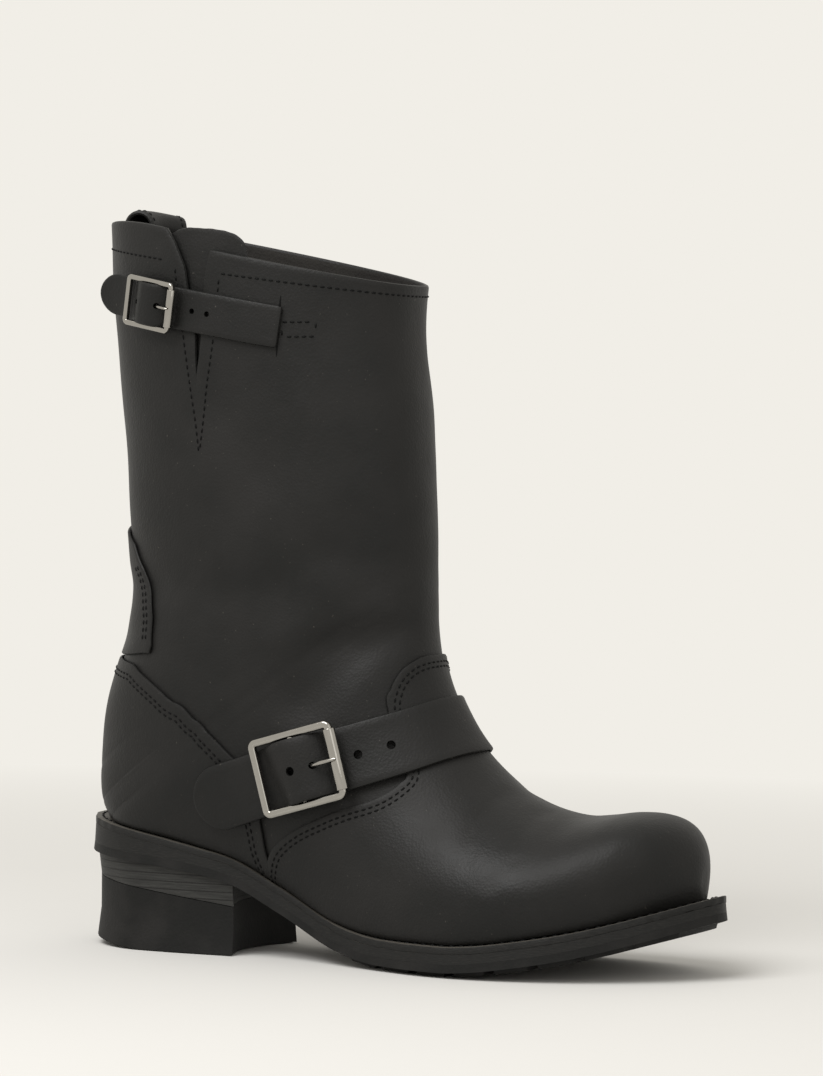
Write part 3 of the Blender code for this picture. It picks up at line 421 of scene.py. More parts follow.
LAST_PLACE = SHAFT_SECTIONS[-1][0]
HEEL_PLACE = FOOT_SECTIONS[-1][0]


def section_point(across, along):
    """Point on the upper's outer face.

    along, 0 to 1, picks a plane through the boot, from the toe's tip back over the foot and up
    to the rim. across, 0 to 1, goes round it from the outer side over the top to the inner side.
    A section starts at the sole with the sole's own half width, swells to its widest height and
    closes to its top point, both as superellipse quarters. Behind the heel its start width is nil.
    """
    across, along = np.broadcast_arrays(np.asarray(across, float), np.asarray(along, float))
    beyond = np.maximum(along - 1.0, 0.0)
    place = np.minimum(along, 1.0) * LAST_PLACE
    front_s, front_z, base_s, base_z, outer, inner, widest, low, up, ridge = section_values(place)
    on_sole = place <= HEEL_PLACE
    base_z = np.where(on_sole, welt_top(base_s) + feather_gap, base_z)
    sole_outer, sole_inner = half_widths(FEATHER, base_s)
    middle = (outer - inner) / 2 * (1 - blend(2.0, 4.0, place))
    on_outer = across <= 0.5
    side = np.where(on_outer, 1.0, -1.0)
    start = np.where(on_sole, np.where(on_outer, sole_outer, sole_inner), 0.0)
    half = np.where(on_outer, outer, -inner)
    half = np.where((half - start) * side > clearance, half, start + side * clearance)
    step = np.where(on_outer, 2 * across, 2 - 2 * across)
    low_turn = np.clip(step / LOW_SHARE, 0, 1) * math.pi / 2
    up_turn = np.clip((step - LOW_SHARE) / (1 - LOW_SHARE), 0, 1) * math.pi / 2
    low_x = start + (half - start) * np.abs(np.sin(low_turn)) ** (2 / low)
    low_r = widest * (1 - np.abs(np.cos(low_turn)) ** (2 / low))
    up_x = middle + (half - middle) * np.abs(np.cos(up_turn)) ** (2 / up)
    up_r = widest + (1 - widest) * np.abs(np.sin(up_turn)) ** (2 / up)
    is_low = step < LOW_SHARE
    r = np.where(is_low, low_r, up_r)
    x = np.where(is_low, low_x, up_x) + (ridge - middle) * r**2
    y = base_s + (front_s - base_s) * r - heel_back
    z = base_z + (front_z - base_z) * r + beyond * rim_height
    return np.stack([x, y, z], axis=-1)


# distance between the three planes of upper_point, in the places of the section tables
heel_softening = 0.75


def upper_point(across, along):
    """Point on the upper's outer face: the mean of three near planes where the heel closes, one elsewhere."""
    along = np.asarray(along, float)
    place = along * LAST_PLACE
    reach = heel_softening / LAST_PLACE * blend(11.0, 12.3, place) * (1 - blend(13.4, 15.4, place))
    here = section_point(across, along)
    return (section_point(across, along - reach) + 2 * here + section_point(across, along + reach)) / 4


def upper_frame(across, along):
    """Point, its two tangents and its outward normal on the upper's outer face."""
    small = 1e-4
    here = upper_point(across, along)
    by_across = (upper_point(across + small, along) - upper_point(across - small, along)) / (2 * small)
    by_along = (here - upper_point(across, along - small)) / small
    return here, by_across, by_along, unit(np.cross(by_across, by_along))


def walk(across, along, direction, distance, steps=5):
    """Parameters reached by going a distance over the upper, near a direction as its slope lets."""
    for _ in range(steps):
        _, by_across, by_along, normal = upper_frame(across, along)
        heading = unit(direction - (direction * normal).sum(-1, keepdims=True) * normal)
        move = heading * (distance / steps)[..., None]
        aa = (by_across * by_across).sum(-1)
        bb = (by_along * by_along).sum(-1)
        ab = (by_across * by_along).sum(-1)
        am = (by_across * move).sum(-1)
        bm = (by_along * move).sum(-1)
        spread = aa * bb - ab * ab
        across = across + (am * bb - bm * ab) / spread
        along = along + (bm * aa - am * ab) / spread
    return across, along


def smooth_line(across, along, count=500):
    """Evenly spaced points through a table of parameters."""
    known = np.linspace(0, 1, len(across))
    line = curve(known, np.stack([across, along], axis=1), np.linspace(0, 1, 4 * count))
    reach = path_reach(upper_point(line[:, 0], line[:, 1]))
    wanted = np.linspace(0, reach[-1], count)
    return np.interp(wanted, reach, line[:, 0]), np.interp(wanted, reach, line[:, 1])


def halve(low, high, is_over, steps=24):
    """Value between two from which is_over holds, found by halving."""
    for _ in range(steps):
        middle = (low + high) / 2
        over = is_over(middle)
        high = np.where(over, middle, high)
        low = np.where(over, low, middle)
    return (low + high) / 2


# Mesh helpers


def weld(points, faces):
    """Points closer than a micrometre made one. Quads that lose one corner become triangles, others go."""
    _, first, index = np.unique(
        np.round(points * 1e6).astype(np.int64), axis=0, return_index=True, return_inverse=True
    )
    faces = index.reshape(-1)[faces]
    same = faces == np.roll(faces, -1, axis=1)
    lost = same.sum(axis=1)
    quads = faces[lost == 0]
    thin = faces[lost == 1]
    kept = thin[~same[lost == 1]].reshape(-1, 3)
    quads = quads[(quads[:, 0] != quads[:, 2]) & (quads[:, 1] != quads[:, 3])]
    return points[first], quads, kept


def grid_quads(rows, columns, start=0):
    """Quads of a grid of points stored row by row."""
    row, column = np.meshgrid(np.arange(rows - 1), np.arange(columns - 1), indexing="ij")
    corner = (start + row * columns + column).ravel()
    return np.stack([corner, corner + 1, corner + columns + 1, corner + columns], axis=1)


def ring_quads(rings, sides, closed_path, start=0):
    """Quads between rings of points, each ring closed."""
    last = rings if closed_path else rings - 1
    ring, side = np.meshgrid(np.arange(last), np.arange(sides), indexing="ij")
    after = (ring + 1) % rings
    beside = (side + 1) % sides
    quads = [ring * sides + side, ring * sides + beside, after * sides + beside, after * sides + side]
    return start + np.stack([corner.ravel() for corner in quads], axis=1)


def vertex_normals(points, quads, triangles):
    """Mean of the area vectors of the faces round each point."""
    normals = np.zeros_like(points)
    for faces in (quads, triangles):
        if len(faces):
            diagonal_a = points[faces[:, 2]] - points[faces[:, 0]]
            diagonal_b = points[faces[:, -1]] - points[faces[:, 1]]
            area = np.cross(diagonal_a, diagonal_b)
            for corner in range(faces.shape[1]):
                np.add.at(normals, faces[:, corner], area)
    return unit(normals)


def open_edges(quads, triangles):
    """Directed edges that only one face has."""
    edges = [np.stack([quads, np.roll(quads, -1, axis=1)], axis=2).reshape(-1, 2)]
    if len(triangles):
        edges.append(np.stack([triangles, np.roll(triangles, -1, axis=1)], axis=2).reshape(-1, 2))
    edges = np.vstack(edges).astype(np.int64)
    size = edges.max() + 1
    forward = edges[:, 0] * size + edges[:, 1]
    backward = edges[:, 1] * size + edges[:, 0]
    return edges[~np.isin(forward, backward)]


def add_piece(name, points, faces, materials, node=None, bevel=0.0, flat_angle=40):
    """Object from whole arrays of points and faces, riding on the boot."""
    mesh = bpy.data.meshes.new(name)
    mesh.from_pydata(points.tolist(), [], [face for group in faces for face in group.tolist()])
    mesh.update()
    mesh.shade_smooth()
    mesh.set_sharp_from_angle(angle=math.radians(flat_angle))
    for material in materials:
        mesh.materials.append(material)
    piece = bpy.data.objects.new(name, mesh)
    bpy.context.scene.collection.objects.link(piece)
    if bevel:
        rounding = piece.modifiers.new("rounding", "BEVEL")
        rounding.width = bevel
        rounding.segments = 2
        rounding.limit_method = "ANGLE"
        rounding.angle_limit = math.radians(50)
        rounding.harden_normals = False
    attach(piece, "root")
    if node:
        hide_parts(node)
    return piece


# rings of points from a sheet's outer face round its cut edge to its inner face
edge_rings = 5


def thick_sheet(name, sheets, inner, outer, materials, node=None, relief=None):
    """Closed sheet between two offsets of one surface along its normals, its cut edges half round.

    The surface is one grid of points or several that meet, each with a mask of the points that
    stand on the welt: they slide level and stay on it. relief is added to both offsets. A cut edge
    is three more rings, on a half circle whose width is the sheet's thickness.
    """
    flat, masks, groups, start = [], [], [], 0
    for grid, on_welt in sheets:
        rows, columns = grid.shape[:2]
        flat.append(grid.reshape(-1, 3))
        masks.append(np.zeros(rows * columns, bool) if on_welt is None else on_welt.ravel())
        groups.append(grid_quads(rows, columns, start))
        start += rows * columns
    flat = np.vstack(flat)
    standing = flat[np.concatenate(masks)]
    points, quads, triangles = weld(flat, np.vstack(groups))
    count = len(points)
    keys = np.round(np.vstack([points, standing]) * 1e6).astype(np.int64)
    both = np.unique(keys, axis=0, return_inverse=True)[1].reshape(-1)
    level = np.isin(both[:count], both[count:])
    normals = vertex_normals(points, quads, triangles)
    normals[level, 2] = 0.0
    normals = unit(normals)
    change = np.zeros(count) if relief is None else relief(points)
    change[level] = 0.0
    rim = open_edges(quads, triangles)
    outward = np.zeros_like(points)
    sideways = np.cross(points[rim[:, 1]] - points[rim[:, 0]], normals[rim[:, 0]])
    np.add.at(outward, rim[:, 0], sideways)
    np.add.at(outward, rim[:, 1], sideways)
    outward = unit(outward)
    outward[level] = 0.0
    middle = (outer + inner) / 2
    half = (outer - inner) / 2
    layers = []
    for turn in np.linspace(0, math.pi, edge_rings):
        offset = middle + half * math.cos(turn) + change
        layer = points + normals * offset[:, None] + outward * half * math.sin(turn)
        if level.any():
            lowest = welt_top(layer[:, 1] + heel_back) + feather_gap
            layer[:, 2] = np.where(level, lowest, np.maximum(layer[:, 2], lowest))
        layers.append(layer)
    bands = []
    for ring in range(edge_rings - 1):
        low, high = ring * count, (ring + 1) * count
        bands.append(np.stack([rim[:, 1] + low, rim[:, 0] + low, rim[:, 0] + high, rim[:, 1] + high], axis=1))
    last = (edge_rings - 1) * count
    faces = [quads, triangles, quads[:, ::-1] + last, triangles[:, ::-1] + last, *bands]
    faces = [group for group in faces if len(group)]
    used = np.unique(np.concatenate([group.ravel() for group in faces]))
    fresh = np.zeros(edge_rings * count, np.int64)
    fresh[used] = np.arange(len(used))
    piece = add_piece(name, np.vstack(layers)[used], [fresh[group] for group in faces], materials, node)
    if len(materials) > 1:
        total = sum(len(group) for group in faces)
        index = np.zeros(total, np.int32)
        front = len(quads) + len(triangles)
        index[front : 2 * front] = 1
        piece.data.polygons.foreach_set("material_index", index)
    return piece


def stacked_solid(name, levels, materials, node=None, bevel=0.0):
    """Closed solid through grids of points, highest first: its walls join their rims."""
    rows, columns = levels[0].shape[:2]
    count = rows * columns
    index = np.arange(count).reshape(rows, columns)
    rim = np.concatenate([index[0], index[1:, -1], index[-1, -2::-1], index[-2:0:-1, 0]])
    after = np.roll(rim, -1)
    last = (len(levels) - 1) * count
    faces = [grid_quads(rows, columns), grid_quads(rows, columns, last)[:, ::-1]]
    for level in range(len(levels) - 1):
        low = level * count
        faces.append(np.stack([after + low, rim + low, rim + low + count, after + low + count], axis=1))
    points, quads, triangles = weld(np.concatenate([g.reshape(-1, 3) for g in levels]), np.vstack(faces))
    groups = [group for group in (quads, triangles) if len(group)]
    # the outer side of the foot comes first in each row, so the faces are turned to point outwards
    groups = [group[:, ::-1] for group in groups]
    return add_piece(name, points, groups, materials, node, bevel)


def tube(points, radii, sides, closed, across, up, square=2.0):
    """Bar: a superellipse square to the path at each of its points, a circle where square is 2."""
    turn = circle(sides)
    flat = (np.abs(np.cos(turn)) ** square + np.abs(np.sin(turn)) ** square) ** (-1 / square)
    wide = (flat * np.cos(turn))[None, :, None]
    high = (flat * np.sin(turn))[None, :, None]
    ring = across[:, None] * wide + up[:, None] * high
    rings = points[:, None] + ring * np.asarray(radii).reshape(-1, 1, 1)
    return rings.reshape(-1, 3), ring_quads(len(points), sides, closed)


def tube_caps(rings, sides):
    """The two end faces of an open tube."""
    end = np.arange(sides)
    return np.stack([end[::-1], (rings - 1) * sides + end])


def spaced(path, extra, step, start=0.0, end=0.0):
    """Points at equal steps along a path, and the same for the arrays that go with it."""
    reach = path_reach(path)
    count = max(int((reach[-1] - start - end) / step), 1)
    wanted = start + (np.arange(count) + 0.5) * step
    parts = (path, *extra)
    return [np.stack([np.interp(wanted, reach, part[:, k]) for k in range(3)], axis=1) for part in parts]


def stitch_row(name, path, out, material, length=0.0021, pitch=0.0029, radius=0.00042):
    """Row of thread ends: short rounded bars laid end to end along a path on the leather."""
    along_path = unit(np.gradient(path, axis=0))
    centre, along, normal = spaced(path, (along_path, out), pitch)
    along = unit(along)
    side = unit(np.cross(normal, along))
    up = np.cross(along, side)
    share = np.array([-0.5, -0.38, 0.0, 0.38, 0.5])
    fat = np.array([0.25, 0.85, 1.0, 0.85, 0.25]) * radius
    dip = np.array([-1.1, -0.25, 0.12, -0.25, -1.1]) * radius
    rings, sides = len(share), 6
    turn = circle(sides)
    middle = (
        centre[:, None]
        + along[:, None] * (share * length)[None, :, None]
        + up[:, None] * dip[None, :, None]
    )
    ring = side[:, None] * np.cos(turn)[None, :, None] + up[:, None] * np.sin(turn)[None, :, None]
    points = middle[:, :, None] + ring[:, None] * fat[None, :, None, None]
    one = ring_quads(rings, sides, False)
    start = np.arange(len(centre)) * rings * sides
    faces = (start[:, None, None] + one).reshape(-1, 4)
    caps = (start[:, None, None] + tube_caps(rings, sides)).reshape(-1, sides)
    return add_piece(name, points.reshape(-1, 3), [faces, caps], [material], flat_angle=80)


# Relief of the worn leather

# Soft folds: the two ends as across and along on the upper, half width and depth in metres
FOLDS = (
    # across, along, across, along, half width, depth
    (0.255, 0.455, 0.375, 0.512, 0.0140, 0.0030),
    (0.300, 0.520, 0.450, 0.470, 0.0080, 0.0016),
    (0.260, 0.560, 0.420, 0.510, 0.0070, -0.0010),
    (0.120, 0.700, 0.300, 0.600, 0.0090, 0.0012),
    (0.060, 0.690, 0.200, 0.660, 0.0060, -0.0008),
    (0.020, 0.735, 0.150, 0.700, 0.0060, 0.0012),
    (0.300, 0.640, 0.480, 0.560, 0.0080, 0.0010),
    (0.340, 0.700, 0.520, 0.640, 0.0090, -0.0008),
    (0.330, 0.250, 0.470, 0.262, 0.0040, 0.0007),
    (0.300, 0.225, 0.500, 0.232, 0.0040, -0.0005),
    (0.340, 0.200, 0.480, 0.210, 0.0040, 0.0006),
    (0.240, 0.205, 0.330, 0.190, 0.0040, 0.0005),
    (0.530, 0.262, 0.680, 0.240, 0.0050, 0.0007),
    (0.560, 0.210, 0.690, 0.195, 0.0050, 0.0006),
    (0.700, 0.560, 0.560, 0.490, 0.0080, 0.0014),
    (0.860, 0.700, 0.700, 0.610, 0.0090, 0.0012),
    (0.980, 0.735, 0.850, 0.700, 0.0060, 0.0012),
    (0.215, 0.860, 0.260, 0.740, 0.0090, 0.0008),
)


def leather_relief(points):
    """Height of the worn leather over the clean last.

    Each fold is a bell-shaped trough, or ridge where its depth is negative, round a straight line
    between two points of the upper, and fades at its ends. Three long waves crossing each other
    add the slight unevenness of hide over a last.
    """
    height = np.zeros(len(points))
    for first_a, first_b, last_a, last_b, width, depth in FOLDS:
        start = upper_point(first_a, first_b)
        run = upper_point(last_a, last_b) - start
        share = ((points - start) @ run) / (run @ run)
        nearest = start + np.clip(share, 0, 1)[:, None] * run
        away = np.linalg.norm(points - nearest, axis=1)
        fade = blend(-0.15, 0.25, share) * (1 - blend(0.75, 1.15, share))
        height -= depth * fade * np.exp(-((away / width) ** 2))
    x, y, z = points.T
    height += 0.00016 * np.sin(61 * x + 93 * z + 1.3) * np.sin(74 * y - 51 * z)
    height += 0.00010 * np.sin(143 * y + 97 * x) * np.sin(121 * z + 83 * x + 0.7)
    return height


# Materials


def colour(code):
    """Linear colour of an sRGB hex code."""
    parts = np.array([int(code[i : i + 2], 16) for i in (1, 3, 5)]) / 255
    linear = np.where(parts <= 0.04045, parts / 12.92, ((parts + 0.055) / 1.055) ** 2.4)
    return (*linear.tolist(), 1.0)


def add_node(tree, kind, inputs=None, **settings):
    """Adds a node. An input is another node's output, to link, or a plain value."""
    node = tree.nodes.new(kind)
    for name, value in settings.items():
        setattr(node, name, value)
    for name, value in (inputs or {}).items():
        if isinstance(value, bpy.types.NodeSocket):
            tree.links.new(value, node.inputs[name])
        else:
            node.inputs[name].default_value = value
    return node


def start_material(name, roughness, metallic=0.0, gloss=0.5):
    """Material with a Principled shader, and its Object coordinates."""
    material = bpy.data.materials.new(name)
    material.use_nodes = True
    tree = material.node_tree
    shader = tree.nodes["Principled BSDF"]
    shader.inputs["Roughness"].default_value = roughness
    shader.inputs["Metallic"].default_value = metallic
    shader.inputs["Specular IOR Level"].default_value = gloss
    place = add_node(tree, "ShaderNodeTexCoord").outputs["Object"]
    return material, tree, shader, place


def mix_colours(tree, factor, first, second):
    """Colour between two, by a factor."""
    node = add_node(tree, "ShaderNodeMix", {0: factor, 6: first, 7: second}, data_type="RGBA")
    return node.outputs[2]


def spread(tree, value, low, high, to_low=0.0, to_high=1.0):
    """Value carried from one range to another, held at its ends."""
    inputs = {"Value": value, "From Min": low, "From Max": high, "To Min": to_low, "To Max": to_high}
    return add_node(tree, "ShaderNodeMapRange", inputs).outputs["Result"]


def noise(tree, place, size, detail):
    """Cloudy noise whose coarsest blots are about a size across."""
    inputs = {"Vector": place, "Scale": 1 / size, "Detail": detail}
    return add_node(tree, "ShaderNodeTexNoise", inputs).outputs["Fac"]


def add_bump(tree, shader, height, distance, strength):
    """Bump on a shader, over the one that it already has."""
    inputs = {"Height": height, "Distance": distance, "Strength": strength}
    if shader.inputs["Normal"].links:
        inputs["Normal"] = shader.inputs["Normal"].links[0].from_socket
    bump = add_node(tree, "ShaderNodeBump", inputs)
    tree.links.new(bump.outputs["Normal"], shader.inputs["Normal"])


def wave_scale(distance):
    """Scale of a wave texture whose bands along an axis are a distance apart: it turns 20 radians a unit."""
    return math.tau / 20 / distance


def make_leather(name, base, light, grain, dust, roughness):
    """Full-grain cowhide, drum dyed and oiled: matt black with a soft wax sheen.

    Pores and fine pebbles cover it all, broad cloudy patches are drier and lighter, and small
    pale specks of dust lie on it.
    """
    material, tree, shader, place = start_material(name, roughness, gloss=0.24)
    # hide grain is about 0.6 mm across; it is drawn at 1.1 mm, because finer grain falls between pixels
    cells = {"Vector": place, "Scale": 1 / 0.0011}
    pebbles = add_node(tree, "ShaderNodeTexVoronoi", cells).outputs["Distance"]
    creases = noise(tree, place, 0.004, 5.0)
    clouds = noise(tree, place, 0.030, 4.0)
    specks = noise(tree, place, 0.0012, 2.0)
    patchy = spread(tree, clouds, 0.35, 0.70)
    tone = mix_colours(tree, patchy, colour(base), colour(light))
    dusty = spread(tree, specks, 0.72, 0.82, 0.0, dust)
    tree.links.new(mix_colours(tree, dusty, tone, colour("#8a857b")), shader.inputs["Base Color"])
    dry = spread(tree, clouds, 0.3, 0.7, roughness - 0.05, roughness + 0.08)
    tree.links.new(dry, shader.inputs["Roughness"])
    add_bump(tree, shader, creases, 0.0004, grain)
    add_bump(tree, shader, pebbles, 0.00022, grain)
    return material


def make_edge_leather():
    """Vegetable-tanned leather, cut edges inked black: compressed fibres run along the layers."""
    material, tree, shader, place = start_material("inked_edge_leather", 0.58, gloss=0.24)
    flat = add_node(tree, "ShaderNodeMapping", {"Vector": place, "Scale": (1.0, 1.0, 7.0)}).outputs["Vector"]
    # fibre bundles are about 0.3 mm thick and a few millimetres long
    fibres = noise(tree, flat, 0.0022, 4.0)
    worn = spread(tree, fibres, 0.45, 0.75)
    side = mix_colours(tree, worn, colour("#121211"), colour("#1f1e1c"))
    # partly dust, partly painted highlight: faces that look up are mixed towards a lighter grey, as if lit
    # from above
    facing = add_node(tree, "ShaderNodeTexCoord").outputs["Normal"]
    height = add_node(tree, "ShaderNodeSeparateXYZ", {"Vector": facing}).outputs["Z"]
    dusty = spread(tree, height, 0.62, 0.95)
    tree.links.new(mix_colours(tree, dusty, side, colour("#45423d")), shader.inputs["Base Color"])
    add_bump(tree, shader, fibres, 0.0004, 0.35)
    return material


def make_stack_leather():
    """Stacked sole leather, sanded and stained grey black: layers 3.3 mm thick, fine fibre lines."""
    material, tree, shader, place = start_material("sanded_stack_leather", 0.62, gloss=0.3)
    flat = add_node(tree, "ShaderNodeMapping", {"Vector": place, "Scale": (1.0, 1.0, 16.0)}).outputs["Vector"]
    lines = spread(tree, noise(tree, flat, 0.009, 6.0), 0.35, 0.68)
    layers = add_node(
        tree,
        "ShaderNodeTexWave",
        {"Vector": place, "Scale": wave_scale(0.003267), "Distortion": 0.6, "Detail Scale": 30.0},
        bands_direction="Z",
    )
    joint = spread(tree, layers.outputs["Fac"], 0.02, 0.10)
    tone = mix_colours(tree, lines, colour("#222221"), colour("#323230"))
    tree.links.new(mix_colours(tree, joint, colour("#141312"), tone), shader.inputs["Base Color"])
    add_bump(tree, shader, lines, 0.0003, 0.35)
    return material


def make_rubber(name, base, chalk):
    """Moulded nitrile rubber: matt, a little chalky where mould powder stays in the pores."""
    material, tree, shader, place = start_material(name, 0.66, gloss=0.22)
    powder = spread(tree, noise(tree, place, 0.018, 3.0), 0.45, 0.70)
    tree.links.new(mix_colours(tree, powder, colour(base), colour(chalk)), shader.inputs["Base Color"])
    add_bump(tree, shader, noise(tree, place, 0.0012, 4.0), 0.0004, 0.45)
    return material


def make_nickel():
    """Nickel-plated steel wire, tumbled and buffed: a clear mirror with faint ripples and rougher scuffs."""
    material, tree, shader, place = start_material("polished_nickel", 0.13, 1.0)
    shader.inputs["Base Color"].default_value = colour("#a19e98")
    ripple = noise(tree, place, 0.005, 3.0)
    scuffs = spread(tree, ripple, 0.35, 0.70, 0.09, 0.22)
    tree.links.new(scuffs, shader.inputs["Roughness"])
    add_bump(tree, shader, ripple, 0.0003, 0.40)
    return material


def make_thread():
    """Waxed polyester thread: its twist is slanting ridges, 1.1 mm apart, coarser than the real ones."""
    material, tree, shader, place = start_material("waxed_thread", 0.60, gloss=0.12)
    shader.inputs["Base Color"].default_value = colour("#060606")
    # a diagonal wave runs at half the rate of one along an axis
    ridges = {"Vector": place, "Scale": wave_scale(0.001974 / 2)}
    twist = add_node(tree, "ShaderNodeTexWave", ridges, bands_direction="DIAGONAL")
    add_bump(tree, shader, twist.outputs["Fac"], 0.0001, 0.4)
    return material


oiled_leather = make_leather("oiled_black_cowhide", "#111110", "#1a1918", 0.34, 0.22, 0.50)
lining_leather = make_leather("bare_flesh_side_leather", "#1d1b19", "#2b2926", 0.55, 0.10, 0.80)
edge_leather = make_edge_leather()
stack_leather = make_stack_leather()
rubber = make_rubber("moulded_black_rubber", "#0f0f0e", "#1b1a19")
nickel = make_nickel()
thread = make_thread()


def leather_sheet(name, sheets, inner, outer, node, relief=leather_relief, materials=(oiled_leather,)):
    """Sheet of the oiled leather that stands for a node, between two offsets from the upper."""
    return thick_sheet(name, sheets, inner, outer, list(materials), node, relief)


# Upper

# The notch's two edges, which meet below it: along, across
RIM_LEFT = (
    (0.860, 0.2000),
    (0.866, 0.2000),
    (0.900, 0.2015),
    (0.920, 0.2030),
    (0.970, 0.1960),
    (1.000, 0.1770),
)
RIM_RIGHT = (
    (0.860, 0.2000),
    (0.866, 0.2000),
    (0.900, 0.2085),
    (0.920, 0.2120),
    (0.970, 0.2165),
    (1.000, 0.2215),
)
HEEL_ALONG = HEEL_PLACE / LAST_PLACE
back_panel_rise = 0.0050


def straight(table, wanted):
    table = np.array(table)
    return np.interp(wanted, table[:, 0], table[:, 1])


def surface_grid(across, along):
    """Grid on the upper, and which of its points stand on the welt. The back seam's points meet."""
    across, along = np.broadcast_arrays(across, along)
    grid = upper_point(across, along)
    on_sole = along <= HEEL_ALONG + 1e-9
    on_seam = (across < 1e-9) | (across > 1 - 1e-9)
    shut = on_seam & (along >= HEEL_ALONG - 1e-9)
    zeros = np.zeros(shut.sum())
    grid[shut] = (upper_point(zeros, along[shut]) + upper_point(zeros + 1, along[shut])) / 2
    tip = along < 1e-9
    grid[tip] = upper_point(0.0, 0.0)
    return grid, (on_sole & on_seam) | tip


def upper_rows():
    """Rows close together at the blunt toe and where the heel closes."""
    toe = np.linspace(0, 1, 60) ** 1.6 * 3.3
    foot = np.linspace(3.3, 11.6, 64)[1:]
    heel = np.linspace(11.6, HEEL_PLACE, 18)[1:]
    shaft = np.linspace(HEEL_PLACE, LAST_PLACE, 100)[1:]
    return np.concatenate([toe, foot, heel, shaft]) / LAST_PLACE


def make_upper():
    """The whole upper in two grids, before and behind the notch, which meet below it."""
    along = upper_rows()[:, None]
    behind = np.linspace(0, 1, 38)[None] * straight(RIM_LEFT, along)
    raised = along + back_panel_rise / rim_height * blend(0.02, 0.17, behind) * blend(0.93, 1.0, along)
    edge = straight(RIM_RIGHT, along)
    before = edge + np.linspace(0, 1, 146)[None] * (1 - edge)
    sheets = [surface_grid(behind, raised), surface_grid(before, along)]
    both = (oiled_leather, lining_leather)
    return leather_sheet("upper_shell", sheets, -wall, 0.0, "upper", materials=both)


# Overlays

VAMP_TOP = (
    # across, along
    (0.000, 0.3850),
    (0.071, 0.3880),
    (0.133, 0.3910),
    (0.188, 0.3850),
    (0.246, 0.3680),
    (0.298, 0.3480),
    (0.333, 0.3405),
    (0.350, 0.3420),
    (0.360, 0.3560),
    (0.366, 0.3800),
    (0.371, 0.4020),
    (0.385, 0.4160),
    (0.404, 0.4250),
    (0.435, 0.4290),
    (0.500, 0.4265),
)
overlay_lift = clearance
overlay_top = clearance + overlay_thick


def make_vamp():
    """Sheet from the toe to its edge: each column runs from the tip to the edge's height there."""
    side, tongue, middle = np.linspace(0, 0.34, 56), np.linspace(0.34, 0.39, 26), np.linspace(0.39, 0.5, 24)
    half = np.concatenate([side[:-1], tongue[:-1], middle])
    across = np.concatenate([half, 1 - half[-2::-1]])[None]
    top = table_curve(VAMP_TOP, np.minimum(across, 1 - across))
    share = np.concatenate([np.linspace(0, 1, 50)[:-1] ** 1.6 * 0.34, np.linspace(0.34, 1, 96)])[:, None]
    sheet = surface_grid(across, share * top)
    return leather_sheet("vamp_overlay", [sheet], overlay_lift, overlay_top, "vamp")


COUNTER_SIDE = (
    # across, along
    (0.000, 0.3770),
    (0.073, 0.3860),
    (0.113, 0.3960),
    (0.143, 0.4060),
    (0.178, 0.4240),
    (0.192, 0.4410),
    (0.200, 0.4610),
    (0.204, 0.4900),
    (0.203, 0.5150),
    (0.194, 0.5450),
    (0.174, 0.5750),
    (0.155, 0.5990),
    (0.137, 0.6170),
    (0.119, 0.6320),
    (0.080, 0.6490),
    (0.040, 0.6590),
    (0.000, 0.6620),
)


def counter_line():
    """The counter's edge from the welt to the centre back, at even steps, as along and across."""
    table = np.array(COUNTER_SIDE)
    across, along = smooth_line(table[:, 0], table[:, 1], 130)
    return np.maximum.accumulate(along + np.arange(130) * 1e-7), across


def make_heel_counter():
    """Two halves that meet at the centre back: each row runs from there, or from the welt, to the edge."""
    along, side = counter_line()
    closing = np.linspace(11.9, 12.9, 21)[1:-1] / LAST_PLACE
    rows = np.unique(np.concatenate([along, closing, [HEEL_ALONG]]))
    across = np.linspace(0, 1, 54)[None] * np.interp(rows, along, side)[:, None]
    rows = rows[:, None]
    sheets = [surface_grid(across, rows), surface_grid(1 - across[:, ::-1], rows)]
    return leather_sheet("heel_counter_overlay", sheets, overlay_lift, overlay_top, "heel_counter")


def backstay_side(along):
    """across of the backstay's edge at each row: where x is the half width at its height."""
    edge = np.array(BACKSTAY_EDGE)

    def is_wide(across):
        point = upper_point(across, along)
        half = np.interp(point[:, 2], edge[:, 1] * rim_height, edge[:, 0] * shaft_width, right=0.0)
        return point[:, 0] > half

    return halve(np.zeros(len(along)), np.full(len(along), 0.24), is_wide)


def backstay_lines():
    """Rows and columns of the backstay, its foot following the counter's edge."""
    side = np.linspace(0, 1, 28)
    known = np.linspace(0.60, 0.80, 400)
    edge = backstay_side(known)
    top = known[edge > 0.02][-1]
    counter_along, counter_across = counter_line()
    upper_half = counter_along > 0.58
    foot_across, foot_along = counter_across[upper_half][::-1], counter_along[upper_half][::-1]
    foot = np.interp(side * 0.125, foot_across, foot_along)[None] + 0.004
    along = foot + (top - foot) * np.sin(np.linspace(0, math.pi / 2, 70))[:, None]
    across = side[None] * np.interp(along, known, edge)
    return across, along


def make_backstay():
    across, along = backstay_lines()
    sheets = [surface_grid(across, along), surface_grid(1 - across[:, ::-1], along[:, ::-1])]
    return leather_sheet("backstay_overlay", sheets, overlay_lift, overlay_top, "backstay")


